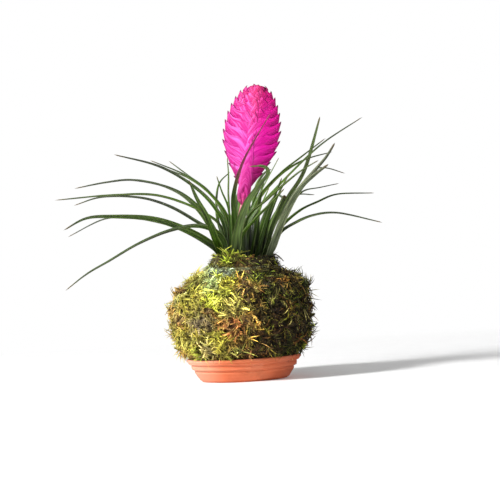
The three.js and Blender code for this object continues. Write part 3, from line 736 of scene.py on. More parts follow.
# Each kind: maker, its look, how many forms of it, and the inputs of its tree.
sprigKinds = {
    "mossFeathersA": (featherSprig, "feather", 8, {
        "Density": 45000.0, "Seed": 3, "Smallest": 0.7, "Largest": 1.25, "Tilt": 0.8}),
    "mossFeathersB": (featherSprig, "feather", 8, {
        "Density": 45000.0, "Seed": 4, "Smallest": 0.6, "Largest": 1.15, "Tilt": 1.0}),
    "mossStrands": (strandSprig, "strand", 8, {
        "Density": 50000.0, "Seed": 5, "Smallest": 0.5, "Largest": 1.15, "Tilt": 1.0}),
    "mossTufts": (tuftSprig, "tuft", 6, {
        "Density": 50000.0, "Seed": 6, "Smallest": 0.7, "Largest": 1.2, "Tilt": 0.5}),
}
living = mossMaterial()
for name, (maker, kind, forms, inputs) in sprigKinds.items():
    sprigs = sprigCollection(name + "Sprig", maker, sprigLook[kind], forms, inputs["Seed"])
    growMoss(name, mossBed, sprigs, living, inputs)
    for sprig in list(sprigs.objects):
        bpy.data.objects.remove(sprig)
    bpy.data.collections.remove(sprigs)
print("moss sprigs")

# Binding thread

threadLook = {"level": 110.9, "radius": 0.36, "neck": 34.9, "turns": 4, "pitch": 0.74,
              "steps": 150, "sides": 8, "knotAngle": -1.9, "knotSteps": 36}


def tube(verts, faces, path, radius, sides):
    base = len(verts)
    last = len(path) - 1
    for k, spot in enumerate(path):
        direction = (path[min(k + 1, last)] - path[max(k - 1, 0)]).normalized()
        aside = direction.cross(Vector((0, 0, 1)))
        if aside.length < 0.05:
            aside = direction.orthogonal()
        aside.normalize()
        across = direction.cross(aside)
        for angle in turns(sides):
            verts.append(spot + (aside * math.cos(angle) + across * math.sin(angle)) * radius)
    verts += [path[0].copy(), path[-1].copy()]
    faces += gridFaces(len(path), sides, True, offset=base)
    faces += fanFaces(len(verts) - 2, base, sides, flip=True)
    faces += fanFaces(len(verts) - 1, base + last * sides, sides)


def threadMaterial():
    s = Shader("paleThread")
    at = s.coordinates()
    twist = s.streaks(at, (1400, 1400, 5200), 2, 0.5)
    wear = s.noise(at, 220, 3, 0.6)
    base = s.ramp(twist, [(0.3, (112, 120, 84)), (0.7, (168, 178, 140))])
    base = s.over(base, wear, 0.5, 0.75, 0.6, (120, 112, 70))
    return s.finish(base, 0.55, s.bump(twist, 0.5, 0.0002))


def makeThread():
    look = threadLook
    verts, faces = [], []
    path = []
    for k in range(look["turns"] * look["steps"] + 1):
        turn = k / look["steps"]
        angle = 2 * math.pi * turn + look["knotAngle"]
        rise = (turn / look["turns"] - 0.5) * look["pitch"] * look["turns"]
        sag = 0.25 * math.sin(2 * angle + 0.6) + 0.12 * math.sin(7 * angle + turn)
        out = 0.18 * math.sin(5 * angle + 2.1 * turn)
        spot = mossPoint(look["neck"] + out, look["level"], angle)
        path.append(Vector((spot.x, spot.y, look["level"] + rise + sag)) * mm)
    tube(verts, faces, path, look["radius"] * mm, look["sides"])
    knotAt = mossPoint(look["neck"] + 0.9, look["level"], look["knotAngle"]) * mm
    loop = []
    for k in range(look["knotSteps"] + 1):
        angle = 2 * math.pi * k / look["knotSteps"]
        loop.append(knotAt + Vector((1.3 * math.sin(2 * angle), 0.35 * math.cos(3 * angle) - 0.1,
                                     1.2 * math.sin(angle))) * mm)
    tube(verts, faces, loop, look["radius"] * mm, look["sides"])
    # Two loose ends hang from the knot.
    for side, drop in ((-1, 7.5), (1, 5.5)):
        ends = [(0, 0, 0), (side * 1.4, -0.9, -1.2), (side * 2.6, -1.4, -drop * 0.55),
                (side * 2.9, -2.2, -drop)]
        tail = [knotAt + Vector(p) * mm for p in splinePoints(ends, 8)]
        tube(verts, faces, tail, look["radius"] * 0.9 * mm, look["sides"])
    thread = addMesh("bindingThread", verts, faces, threadMaterial())
    place(outward(thread), "binding_thread")


makeThread()
print("thread")

# Leaves

mainShoot = (-4, 0)
sideShoot = (18.5, 0)
rootLevel = 111
# The eye in front of the plant, from which the routes below are seen.
eyeDistance = 1800
eyeX = 12
eyeLevel = 128.5
leafLook = {"stations": 52, "half": 7, "thickness": 1.05, "tipWidth": 0.9, "breadth": 1.03,
            "taper": 0.62, "thinTaper": 1.25, "fullTaper": 0.45, "footWidth": 0.66,
            "bodyWidth": 1.3, "footFold": 33, "tipFold": 40, "sway": 7}

# Each row: seat (shoot, distance, heading), width, turn, route as seen from in front, tone.
leafRows = [
    (mainShoot, 8, 205, 7.2, 10, [(-10.5, 150, -6.8), (-17.5, 169, -12.5), (-33.5, 189.5, -20),
     (-70, 215.5, -34), (-118.5, 231.5, -50)], 0.45),
    (mainShoot, 4.5, 150, 7, 10, [(-6.5, 154.5, 5), (-11, 169, 10), (-25, 187.5, 18),
     (-46, 205.5, 28), (-82.5, 223.5, 45)], 0.4),
    (mainShoot, 8.5, 120, 4, 0, [(-9.6, 150, 14), (-14.5, 171, 24), (-26, 190, 34), (-46, 207, 46),
     (-64, 222, 60)], 0.35),
    (mainShoot, 9.5, 160, 6.5, 15, [(-19.5, 146, 8), (-33.5, 171, 14), (-57, 191.5, 24),
     (-101, 205, 40), (-129, 204, 50), (-160, 199.5, 60)], 0.55),
    (mainShoot, 9, 182, 6.5, 10, [(-15, 152.5, 0), (-32.5, 169, 2), (-76, 188, 6), (-120, 191, 8),
     (-180, 189, 8)], 0.8),
    (mainShoot, 9, 219, 6.6, 10, [(-20, 148, -10.8), (-34.5, 157, -16), (-64, 176, -28),
     (-92, 186.5, -38), (-133.5, 189.5, -48), (-161.5, 182.5, -56)], 0.5),
    (mainShoot, 13.5, 186, 8.5, 55, [(-18.5, 127.5, -4), (-35, 143.5, -10), (-77.5, 164, -26),
     (-122, 170, -42), (-150, 169.5, -50), (-173, 158.5, -56)], 0.85),
    (mainShoot, 13, 160, 5, 0, [(-20, 128, 9), (-38, 145, 18), (-65, 157, 28), (-104, 167, 42),
     (-131, 167.5, 50), (-169, 151.5, 60)], 0.5),
    (mainShoot, 12.5, 236, 8, 20, [(-11, 128, -15.5), (-13.3, 141, -20.5), (-22, 150.5, -26),
     (-38.5, 156, -36), (-65.5, 153, -50), (-98, 141.5, -64), (-130.5, 124.8, -76),
     (-151.5, 114, -84), (-174.5, 98, -92)], 0.6),
    (mainShoot, 13, 208.5, 8, 15, [(-17.1, 128.5, -12.3), (-22, 143, -28), (-29, 165, -50),
     (-38, 183.5, -70), (-45, 202, -92)], 0.45),
    (mainShoot, 8.5, 238, 3.5, 0, [(-6, 145, -12), (-7, 172.5, -22), (-12.5, 188.5, -29),
     (-17, 204.5, -36)], 0.3),
    (mainShoot, 12, 112, 4, 0, [(-13.5, 140, 26), (-18.5, 162, 38), (-18.5, 181.5, 50),
     (-14.5, 197.5, 60), (-3.5, 207.5, 72)], 0.45),
    (mainShoot, 4.5, 215, 5, 40, [(-6.5, 150, -3), (-6.2, 187, -4), (-5.1, 204, -5),
     (-5.3, 222.5, -6)], 0.35),
    (mainShoot, 8, 272, 9.4, 0, [(-1.5, 139, -14), (-2, 165.5, -24), (-1.5, 184, -33),
     (8.5, 214.5, -52), (29, 247.5, -72), (40.5, 264, -82)], 0.42),
    (mainShoot, 12.5, 272, 10.4, 0, [(-1.5, 134, -20), (0.5, 147, -28), (11, 175.5, -48),
     (23.5, 192, -62), (34.5, 205.5, -76), (32, 211, -82), (15.5, 212, -86)], 0.62),
    (mainShoot, 4.5, 20, 4.5, 0, [(6, 145, 3), (19, 174, 3), (29.5, 191.5, 3), (46.5, 219.5, 3)],
     0.35),
    (mainShoot, 8.5, 40, 5.5, 0, [(8, 145, 12), (23, 179.5, 26), (49.5, 205.5, 42),
     (67.5, 218, 52), (94, 236, 66)], 0.45),
    (mainShoot, 8.5, 340, 6, 0, [(8, 145, -5), (19, 166, -6), (40.5, 187.5, -3), (70, 214.5, 6),
     (91.5, 231.5, 14), (132, 255, 28)], 0.5),
    (mainShoot, 11, 325, 6, 0, [(7, 148, -13), (13, 163.5, -18), (31, 177.5, -27), (50, 192.5, -36),
     (67, 204.5, -44), (86, 214.5, -52)], 0.55),
    (mainShoot, 12.5, 303.5, 6.6, 0, [(4, 141.5, -17.4), (18.5, 159, -30), (33, 172, -40),
     (50, 188, -54)], 0.5),
    (sideShoot, 9, 200, 7.5, 30, [(14, 127, -4), (17.5, 142, -6), (21, 157, -9), (26, 172, -13),
     (35, 190, -18)], 0.4),
    (sideShoot, 7, 237, 6.7, 0, [(20.5, 130, -9), (25, 143.5, -13), (34, 168, -20), (41, 184, -26),
     (48, 199, -34)], 0.4),
    (sideShoot, 3.5, 280, 5.5, 0, [(25.5, 135, -6), (29.5, 150, -9), (37.5, 170, -13),
     (46, 187, -17), (56, 203, -22)], 0.3),
    (sideShoot, 7, 290, 7.6, 0, [(30, 135, -12), (34.6, 151, -16), (42.6, 168, -21),
     (50, 181.5, -26)], 0.5),
    (sideShoot, 6.5, 60, 8, 0, [(33, 145, 14), (44, 165, 20), (54, 181, 26), (65, 195.5, 32),
     (72, 208.5, 38), (89.5, 258, 58)], 0.75),
    (sideShoot, 7, 326, 9.2, 0, [(34, 130, -8.5), (41, 146, -12), (53, 173, -22), (67, 190, -30),
     (84.5, 208, -40), (93, 217, -46), (103, 231, -54)], 0.6),
    (sideShoot, 9.3, 308, 11.6, 0, [(32.4, 128, -14.8), (40, 145, -21), (48.5, 162, -32),
     (66, 188.5, -50), (80, 200, -60), (95.5, 210, -70)], 0.55),
    (sideShoot, 6.8, 15, 4.5, 0, [(36, 138, 5), (51, 170, 13), (70, 193, 21), (84, 206, 27),
     (93.5, 206, 30), (111.5, 199.5, 34)], 0.5),
    (sideShoot, 9.5, 58, 4, 0, [(28.5, 126, 12), (41, 145, 26), (55, 170, 44), (68, 184, 57),
     (85.5, 187, 68), (105, 190, 80)], 0.5),
    (sideShoot, 9, 28, 6, 0, [(34.5, 131, 8.5), (44.5, 149.5, 14), (64.5, 165.5, 26),
     (82.5, 173, 34), (100, 179, 42), (139.5, 178.5, 56)], 0.6),
    (sideShoot, 8.8, 356, 7, 0, [(35.2, 130, -1.5), (43.5, 144.5, -5), (58, 153, -12),
     (76, 159.5, -18), (99, 161, -26), (146, 148.5, -40)], 0.28),
    (mainShoot, 13, 134, 7, 0, [(-21, 140, 22), (-33, 166, 44), (-56, 190, 74), (-96, 204.5, 102),
     (-138, 203, 126)], 0.5),
    (mainShoot, 8.5, 92, 6, 0, [(-6.4, 150, 21), (-12, 170, 33), (-24, 187, 44), (-42, 202, 64),
     (-66, 214, 90)], 0.4),
    (mainShoot, 12.5, 88, 7, 0, [(-5, 135, 24), (-3, 160, 46), (2, 181, 74), (8, 190, 108),
     (14, 180, 146)], 0.5),
    (mainShoot, 8.5, 66, 6.5, 0, [(0, 140, 15), (4, 170, 30), (10, 200, 50), (18, 222, 76),
     (24, 232, 110)], 0.4),
    (mainShoot, 12.5, 62, 6.5, 0, [(7, 145, 24), (21, 176, 50), (45, 201, 78), (70, 215, 104),
     (100, 222, 132)], 0.5),
    (sideShoot, 10.5, 86, 7, 0, [(28, 138, 24), (36, 158, 48), (48, 173, 78), (62, 181, 108),
     (80, 180, 140)], 0.55),
    (sideShoot, 10.5, 116, 9, 0, [(20, 136, 22), (27, 157, 42), (35, 174, 68), (43, 182, 100),
     (50, 177, 136)], 0.45),
    (sideShoot, 6.5, 120, 6, 0, [(17.5, 145, 13), (18, 170, 26), (22, 192, 42), (30, 204, 66),
     (38, 208, 96)], 0.35),
    (sideShoot, 3.5, 150, 7, 0, [(19.5, 145, 4.5), (22, 166, 10), (26, 185, 18),
     (31, 201, 30)], 0.3),
    (sideShoot, 11, 158, 7, 0, [(11.6, 135, 16), (12.2, 150, 24), (13, 170, 36), (16, 198, 58)],
     0.35),
    (sideShoot, 10.3, 180, 5.5, 0, [(8.8, 127, 0.5), (9.4, 140, 3), (12, 158, 8), (18, 176, 14),
     (27, 192, 22)], 0.2),
]
# The leaf that keeps its width and ends bluntly.
bluntLeaf = 24
# The leaf before the spike is drawn out to a thin tip and takes on some of its pink.
thinLeaf = 14
# Greyer leaves, by number: how far their scurf covers the green.
ashyLeaves = {15: 0.2, 24: 0.2, 25: 0.25, 26: 0.6, 27: 0.6}
# Leaves that stay broad almost to the tip.
fullLeaves = (25, 26, 27)
dryLeafRow = (sideShoot, 11.5, 332, 2.8, 0, [(32.4, 121.4, -6.2), (35, 122.9, -6.8),
              (38.6, 121.9, -7.6), (42.2, 118.9, -8.6), (45.2, 115.2, -9.6)], 0.0)


# A place seen from in front at (x, z), set back by its depth along the line of sight.
def placed(x, z, depth):
    spread = 1 + depth / eyeDistance
    return (eyeX + (x - eyeX) * spread, depth, eyeLevel + (z - eyeLevel) * spread)


def leafMaterial():
    s = Shader("leafBlade")
    uv = s.coordinates("UV")
    at = s.coordinates()
    tone, along, edge = (s.attribute(key) for key in ("tone", "along", "edge"))
    fine = s.streaks(uv, (13, 2.0, 1), 4, 0.6)
    broad = s.streaks(uv, (5, 0.9, 1), 3, 0.5)
    blotch = s.streaks(uv, (2.5, 4.5, 1), 5, 0.6)
    scales = s.noise(at, 900, 3, 0.6)
    dark = s.mix(tone, (4, 16, 0), (18, 34, 1))
    light = s.mix(tone, (44, 88, 1), (98, 138, 24))
    base = s.mix(s.within(fine, 0.38, 0.62), dark, light)
    base = s.over(base, broad, 0.5, 0.7, 0.6, (82, 118, 30))
    base = s.over(base, broad, 0.47, 0.3, 0.7, (12, 28, 2))
    base = s.over(base, blotch, 0.56, 0.74, 0.3, (112, 126, 66))
    # Painted highlight along the middle of the channel.
    channelHighlight = s.maths("MULTIPLY", s.within(edge, 0.5, 0.1), s.within(broad, 0.4, 0.62, 0.0, 1.0))
    base = s.mix(s.maths("MULTIPLY", channelHighlight, 0.4), base, (136, 160, 88))
    base = s.over(base, scales, 0.58, 0.78, 0.12, (140, 150, 120))
    scurf = s.mix(s.within(fine, 0.34, 0.62), (38, 48, 24), (172, 178, 146))
    base = s.mix(s.attribute("ash"), base, scurf)
    margin = s.maths("MULTIPLY", s.within(edge, 0.8, 0.98), s.within(fine, 0.3, 0.7, 0.15, 0.4))
    base = s.mix(margin, base, (176, 180, 118))
    base = s.mix(s.attribute("flush"), base, (150, 44, 92))
    # Painted shade at the bases of the leaves, down in the moss.
    baseShade = s.maths("MULTIPLY", s.within(along, 0.26, 0.02), s.within(fine, 0.68, 0.4, 0.3, 0.95))
    base = s.mix(baseShade, base, (26, 27, 13))
    fromMiddle = s.maths("ABSOLUTE", s.maths("SUBTRACT", s.axis(at, "X"), 0.012))
    outer = s.maths("MULTIPLY", s.within(fromMiddle, 0.032, 0.085, 0.0, 0.85),
                    s.within(tone, 0.65, 0.82, 1.0, 0.35))
    outer = s.maths("MAXIMUM", outer, s.within(fromMiddle, 0.1, 0.17, 0.0, 0.75))
    greyed = s.mix(s.within(fine, 0.35, 0.65), (36, 38, 30), (84, 88, 76))
    base = s.mix(outer, base, greyed)
    # Painted shade deep in the crown, low down and towards the back.
    inside = s.maths("MULTIPLY", s.within(s.axis(at, "Z"), 0.172, 0.136),
                     s.within(s.axis(at, "Y"), -0.024, -0.004, 0.0, 0.8))
    base = s.mix(inside, base, (12, 18, 5))
    base = s.over(base, along, 0.93, 0.995, 0.7, (112, 88, 58))
    ridges = s.bump(fine, 0.4, 0.0005)
    return s.finish(base, s.within(fine, 0.3, 0.7, 0.34, 0.46), ridges, Specular_IOR_Level=0.25)


def dryLeafMaterial():
    s = Shader("driedLeaf")
    uv = s.coordinates("UV")
    fine = s.streaks(uv, (18, 2, 1), 4, 0.65)
    base = s.ramp(fine, [(0.3, (44, 36, 26)), (0.7, (96, 80, 58))])
    return s.finish(base, 0.8, s.bump(fine, 0.6, 0.0005))


def makeLeaf(name, row, material, seed, node, blunt=False, flushed=False,
             taperPower=leafLook["taper"], ash=0.0):
    look = leafLook
    shoot, radius, heading, width, turn, route, tone = row
    bearing = math.radians(heading)
    seat = (shoot[0] + radius * math.cos(bearing), shoot[1] + radius * math.sin(bearing),
            rootLevel)
    points = [seat] + [placed(*p) for p in route]
    curve, length = evenly(splinePoints(points, 40), look["stations"])
    root, tip = curve[0], curve[-1]
    facing = math.atan2(tip[1] - root[1], tip[0] - root[0])
    level = Vector((-math.sin(facing), math.cos(facing), 0))
    half = look["half"]
    columns = 2 * half + 1
    count = look["stations"] - 1
    skin = Points("tone", "along", "edge", "ash", "flush")
    shift = random.Random(seed).uniform(0, 40)
    for step in range(count):
        s = step / count
        middle = Vector(curve[step])
        along = Vector(curve[step + 1] - curve[max(step - 1, 0)]).normalized()
        across = (level - along * level.dot(along)).normalized()
        sway = look["sway"] * noise.noise(Vector((s * 4, shift, 0)))
        across = Matrix.Rotation(math.radians(turn + sway * (1 - s)), 3, along) @ across
        up = across.cross(along)
        swell = lerp(look["footWidth"], look["bodyWidth"], smooth(0, 0.2, s))
        taper = 1 - 0.3 * s if blunt else (1 - s) ** taperPower
        flush = 0.85 * smooth(0.45, 0.66, s) if flushed else 0
        reachHalf = 0.5 * (look["tipWidth"] + (width * swell - look["tipWidth"]) * taper)
        reachHalf *= look["breadth"] * (1 + 0.04 * noise.noise(Vector((s * 14, shift, 3))))
        fold = math.radians(lerp(look["footFold"], look["tipFold"], s))
        reach, rise = reachHalf * math.cos(fold), reachHalf * math.sin(fold)
        thick = look["thickness"] * (0.55 + 0.45 * taper)
        for under in (False, True):
            # The underside shares its first and last column with the upper side.
            face, margin = (-1, 1) if under else (1, 0)
            for k in range(margin, columns - margin):
                u = (k / half - 1) * face
                lift = rise * (abs(u) ** 1.35) - 0.5 * rise
                lift += 0.05 * reachHalf * math.cos(abs(u) * 9.4)
                lift += 0.10 * noise.noise(Vector((s * 22, u * 1.5 + shift, 8)))
                body = 0.5 * thick * (1 - 0.72 * u * u)
                offset = across * (reach * u) + up * (lift + face * body)
                uv = (0.5 + 0.5 * u + (shift + 2 if under else shift), s * length / 60)
                paler = min(max(tone + (0.12 if under else 0), 0), 1)
                skin.add(middle + offset, uv, paler, s, abs(u), ash, flush)
    ring = 2 * columns - 2
    faces = gridFaces(count, ring, True)
    skin.add(Vector(root), (shift + 0.5, 0), tone, 0, 0, ash, 0)
    skin.add(Vector(tip), (shift + 0.5, length / 60), tone, 1, 0, ash, flush)
    faces += fanFaces(len(skin.verts) - 2, 0, ring, flip=True)
    faces += fanFaces(len(skin.verts) - 1, (count - 1) * ring, ring)
    piece = addMesh(name, skin.verts, faces, material, skin.uvs, skin.values)
    outward(piece)
    # A crease runs along both margins.
    for line in piece.data.edges:
        first, second = (vertex % ring for vertex in line.vertices)
        line.use_edge_sharp = first == second and first in (0, columns - 1)
    place(piece, node)


blade = leafMaterial()
for number, row in enumerate(leafRows, 1):
    taper = "thinTaper" if number == thinLeaf else "fullTaper" if number in fullLeaves else "taper"
    makeLeaf(f"leafBlade{number:02d}", row, blade, 100 + number, f"leaf_{number:02d}",
             blunt=number == bluntLeaf, flushed=number == thinLeaf, taperPower=leafLook[taper],
             ash=ashyLeaves.get(number, 0.0))
makeLeaf("dryLeafBlade", dryLeafRow, dryLeafMaterial(), 77, "dry_leaf")
print("leaves")

# Stalk and flower spike

spikeFoot = Vector((7.5, 1, 174))
spikeTop = Vector((29.1, 1, 292))
spikeAxis = (spikeTop - spikeFoot).normalized()
spikeRight = Vector((spikeAxis.z, 0, -spikeAxis.x))
spikeLength = (spikeTop - spikeFoot).length
spikeLook = {"halfWidth": 28.3, "halfThickness": 6.2, "widest": 0.411, "raised": 1.9,
             "perSide": 11, "spacing": 2.47, "spread": 1.51, "budSides": 36, "rachisSides": 20,
             "topBracts": [(-1, -1.2, 3.6), (1, -0.8, 0.5)],
             "alongSteps": 26, "acrossSteps": 8, "shell": 0.7, "overlap": 1.5, "band": 15,
             "cross": 3.2, "turnUp": 2.3, "inset": 2.0, "hook": 1.1, "claw": 0.125}


# Half the width of the spike, so far below its top: blunt above the widest place, and
# drawn in towards the foot.
def spikeReach(below):
    blunt = spikeLook["raised"] * (1 - smooth(0, 24, below))
    q = min(max((below + blunt) / spikeLength, 0.001), 0.999)
    wave = math.sin(math.pi * q ** 0.78)
    power = 0.6 if q < spikeLook["widest"] else 1.45
    return max(lerp(4.2, 2.2, q), spikeLook["halfWidth"] * wave ** power)


# How far below the top the rounded crown runs, by the distance from the spike's middle.
spikeCrown = [(0, -0.3), (5, -0.2), (8, 0.7), (10, 1.8), (13, 3.2), (16, 5), (29, 10)]


def crownBelow(out):
    for (near, high), (far, low) in zip(spikeCrown, spikeCrown[1:]):
        if out <= far:
            return lerp(high, low, (out - near) / (far - near))
    return spikeCrown[-1][1]


# Half the thickness of the spike at a place.
def spikeDepth(out, below):
    reach = spikeReach(below)
    slim = smooth(0, 16, below) * lerp(1, 0.62, smooth(70, 118, below))
    share = min(abs(out) / (reach + 1.0), 1)
    return spikeLook["halfThickness"] * lerp(0.45, 1, slim) * (1 - share ** 1.25) ** 0.85 + 0.35


def spikePoint(out, below, front):
    return spikeTop - spikeAxis * below + spikeRight * out + Vector((0, -front, 0))


def bractMaterial():
    s = Shader("pinkBract")
    uv = s.coordinates("UV")
    at = s.coordinates()
    claw, height, rise, aside = (s.attribute(key) for key in ("claw", "height", "rise", "aside"))
    veins = s.streaks(uv, (2.0, 34, 1), 3, 0.55, 0.25)
    cloud = s.noise(at, 90, 4, 0.6)
    fine = s.noise(at, 1200, 2, 0.6)
    # Lit and shaded copies of the pinks: painted light on the left half, painted shade on the
    # right.
    sunny = s.ramp(rise, [(0.0, (222, 100, 150)), (0.16, (220, 78, 156)),
                          (0.45, (204, 60, 156)), (0.8, (190, 30, 112)),
                          (1.0, (174, 18, 76))])
    shady = s.ramp(rise, [(0.0, (206, 74, 124)), (0.16, (204, 24, 130)),
                          (0.45, (230, 0, 164)), (0.8, (220, 4, 138)),
                          (1.0, (186, 14, 80))])
    onRight = s.within(aside, 0.3, 0.7)
    base = s.mix(onRight, sunny, shady)
    pale = s.mix(onRight, (240, 116, 208), (218, 30, 152))
    streaks = s.streaks(uv, (1.2, 8, 1), 2, 0.5, 0.4)
    base = s.over(base, veins, 0.4, 0.66, 0.6, (174, 4, 116))
    base = s.over(base, streaks, 0.5, 0.64, 0.65, pale)
    base = s.over(base, streaks, 0.48, 0.34, 0.6, (166, 4, 108))
    # Painted highlight along the raised edge of each bract, painted shade near its keel where it
    # tucks under the bract below.
    base = s.over(base, height, 0.8, 1.0, 0.38, pale)
    base = s.over(base, height, 0.72, 0.3, 0.5, (170, 4, 108))
    centre = s.within(s.maths("ABSOLUTE", s.maths("SUBTRACT", aside, 0.5)), 0.16, 0.0, 0.0, 0.45)
    blush = s.maths("MULTIPLY", centre, s.within(rise, 0.5, 0.85))
    base = s.mix(blush, base, (214, 66, 104))
    # Painted shade low on the right of the spike.
    lowRight = s.maths("MULTIPLY", s.within(aside, 0.56, 0.72), s.within(rise, 0.45, 0.2))
    base = s.mix(s.maths("MULTIPLY", lowRight, 0.6), base, (110, 18, 62))
    base = s.over(base, claw, 0.1, 0.9, 0.88, (92, 14, 58))
    foot = s.maths("MULTIPLY", s.within(rise, 0.07, 0.0), s.within(cloud, 0.4, 0.7, 0.1, 0.7))
    base = s.mix(foot, base, (150, 140, 88))
    ribs = s.bump(veins, 0.55, 0.0006)
    skin = s.bump(fine, 0.15, 0.0002, ribs)
    return s.finish(base, s.within(veins, 0.3, 0.7, 0.34, 0.5), skin,
                    Subsurface_Weight=0.08, Subsurface_Scale=0.003,
                    Subsurface_Radius=(1.0, 0.35, 0.6), Specular_IOR_Level=0.18)


# A folded boat-shaped bract: keel outward, two halves that wrap the spike.
def addBract(skin, faces, side, tipBelow, tipReach, order, inTop=False):
    look = spikeLook
    rows, halfColumns = look["alongSteps"], look["acrossSteps"]
    columns = 2 * halfColumns + 1
    # The low bracts start at the foot, the high ones part of the way up.
    toFoot = spikeLength - tipBelow - 0.3
    run = lerp(min(tipReach * 1.3 + 10, toFoot), toFoot, smooth(42, 72, tipBelow))
    band = look["band"] * smooth(-14, 24, tipReach) + 2.5
    # The low bracts reach the outline sooner, and the topmost narrow to a claw later.
    turnUp = lerp(look["turnUp"], 5.5, smooth(50, 84, tipBelow))
    narrows = lerp(0.66, 0.5, smooth(-2, 20, tipBelow))

    # The keel reaches the outline early, follows it upward and ends in a short hook.
    def keel(s):
        below = tipBelow + run * (1 - s)
        edge = tipReach if inTop else min(spikeReach(below), tipReach + 6)
        out = lerp(-0.6, edge - look["inset"] * (1 - s), 1 - (1 - s) ** turnUp)
        return out + look["hook"] * smooth(0.84, 1, s), below

    outer, inner = [], []
    for k in range(rows):
        s = (k / (rows - 1)) ** 0.85
        keelOut, keelBelow = keel(s)
        ahead, back = keel(min(s + 0.01, 1)), keel(max(s - 0.01, 0))
        stepOut, stepUp = ahead[0] - back[0], back[1] - ahead[1]
        size = math.hypot(stepOut, stepUp) or 1
        # The halves lean in from the keel, and narrow to a point at the tip.
        inward, upward = stepUp / size, stepOut / size
        wide = band * lerp(1, look["claw"], smooth(narrows, 0.975, s)) * (1 - s ** 40)
        wide *= 0.75 + 0.25 * smooth(0, 0.3, s)
        narrow = 1 - s ** 3
        for j in range(columns):
            aside = j / halfColumns - 1
            away = abs(aside)
            # The halves stop near the middle of the spike and under its rounded crown.
            out = keelOut - inward * wide * away
            cross = look["cross"] + 1.8 * noise.noise(Vector((s * 5, order * 3.1, side)))
            out = max(out, -cross + 0.25 * (out + cross))
            below = keelBelow - upward * wide * away - 0.25 * wide * away
            nearKeel = 1 - smooth(0.3, 1.9, wide * away)
            below = max(below, crownBelow(abs(out)) - 2.4 * nearKeel)
            claw = smooth(0.89, 0.95, s) * (1 - smooth(1.0, 1.9, wide * away))
            # They lie on the spike and lift a little towards their edge.
            depth = spikeDepth(out, min(max(below, 0.5), spikeLength))
            calm = 1 - 0.5 * smooth(14, 2, below)
            stand = calm * (look["overlap"] * (away - 0.4) + 0.45 * math.sin(math.pi * away))
            ripple = 0.14 * noise.noise(Vector((s * 7, aside * 3, order * 2.3 + side)))
            front = depth * min(away * 2.4, 1) + (stand * min(away * 3, 1) + ripple) * narrow
            front = max(front * (1 - 0.2 * s ** 4), 0.3 * away)
            front = min(front, lerp(1.9, 9, smooth(spikeLength, spikeLength - 22, below)))
            sign = 1 if aside >= 0 else -1
            tuck = look["shell"] * (1 - 0.5 * s)
            tuck *= 0.35 + 0.65 * math.sin(math.pi * min(away + 0.15, 1))
            outer.append((side * out, below, sign * front, s, away, claw))
            hollow = max(front - tuck, 0.0)
            inner.append((side * (out - 0.5 * (1 - away)), below, sign * hollow, s, away, claw))
    start = len(skin.verts)
    for out, below, front, s, away, claw in outer + inner:
        addSpikePoint(skin, out, below, front, (s * 1.4 + order, away + 3 * order), claw, away)
    sheet = rows * columns
    closed = []
    for quad in gridFaces(rows, columns, False, offset=start):
        closed.append(quad)
        closed.append(tuple(vertex + sheet for vertex in quad[::-1]))
    rim = [start + column for column in range(columns)]
    rim += [start + row * columns + columns - 1 for row in range(1, rows)]
    rim += [start + (rows - 1) * columns + column for column in range(columns - 2, -1, -1)]
    rim += [start + row * columns for row in range(rows - 2, 0, -1)]
    for vertex, following in zip(rim, rim[1:] + rim[:1]):
        closed.append((following, vertex, vertex + sheet, following + sheet))
    faces += closed if side > 0 else [face[::-1] for face in closed]


# Half width of the young bud in the crown, and how far below the top.
budRows = [(0.3, -0.2), (2.5, -0.15), (5, 0.1), (7.3, 1.0), (9.4, 2.5), (12, 5), (14.6, 8.6),
           (17, 13), (19, 18.5), (20, 25), (17, 33), (9, 42)]
# Share of the way up the rachis, which shows only at the foot, and its radius.
rachisRows = [(0.0, 1.3), (0.04, 1.9), (0.1, 2.8), (0.2, 3.6), (0.4, 3.0), (0.85, 1.8)]


def addSpikePoint(skin, out, below, front, uv, claw, height):
    rise = min(max(1 - below / spikeLength, 0), 1)
    aside = 0.5 + 0.5 * out / spikeLook["halfWidth"]
    skin.add(spikePoint(out, below, front), uv, claw, height, rise, aside)


def addBud(skin, faces):
    start, sides = len(skin.verts), spikeLook["budSides"]
    for width, below in budRows:
        depth = min(0.8 * spikeDepth(0, max(below, 0.5)), 1.3 * math.sqrt(below + 0.3))
        for angle in turns(sides):
            addSpikePoint(skin, width * math.cos(angle), below, depth * math.sin(angle),
                          (below / 14, angle * 3), 0.0, 0.75)
    faces += gridFaces(len(budRows), sides, True, offset=start)
    faces.append(tuple(range(start, start + sides))[::-1])
    faces.append(tuple(range(len(skin.verts) - sides, len(skin.verts))))


def addRachis(skin, faces):
    start, sides = len(skin.verts), spikeLook["rachisSides"]
    for share, radius in rachisRows:
        for k, angle in enumerate(turns(sides)):
            spot = spikePoint(radius * math.cos(angle), spikeLength * (1 - share),
                              radius * 0.8 * math.sin(angle))
            skin.add(spot, (k / sides, share * 4), 0.0, 0.4, share, 0.5)
    faces += [face[::-1] for face in gridFaces(len(rachisRows), sides, True, offset=start)]
    last = start + (len(rachisRows) - 1) * sides
    for share, base in ((rachisRows[0][0], start), (rachisRows[-1][0], last)):
        skin.add(spikePoint(0, spikeLength * (1 - share), 0), (0, share * 4), 0.0, 0.4, share, 0.5)
        faces += fanFaces(len(skin.verts) - 1, base, sides, flip=base == last)


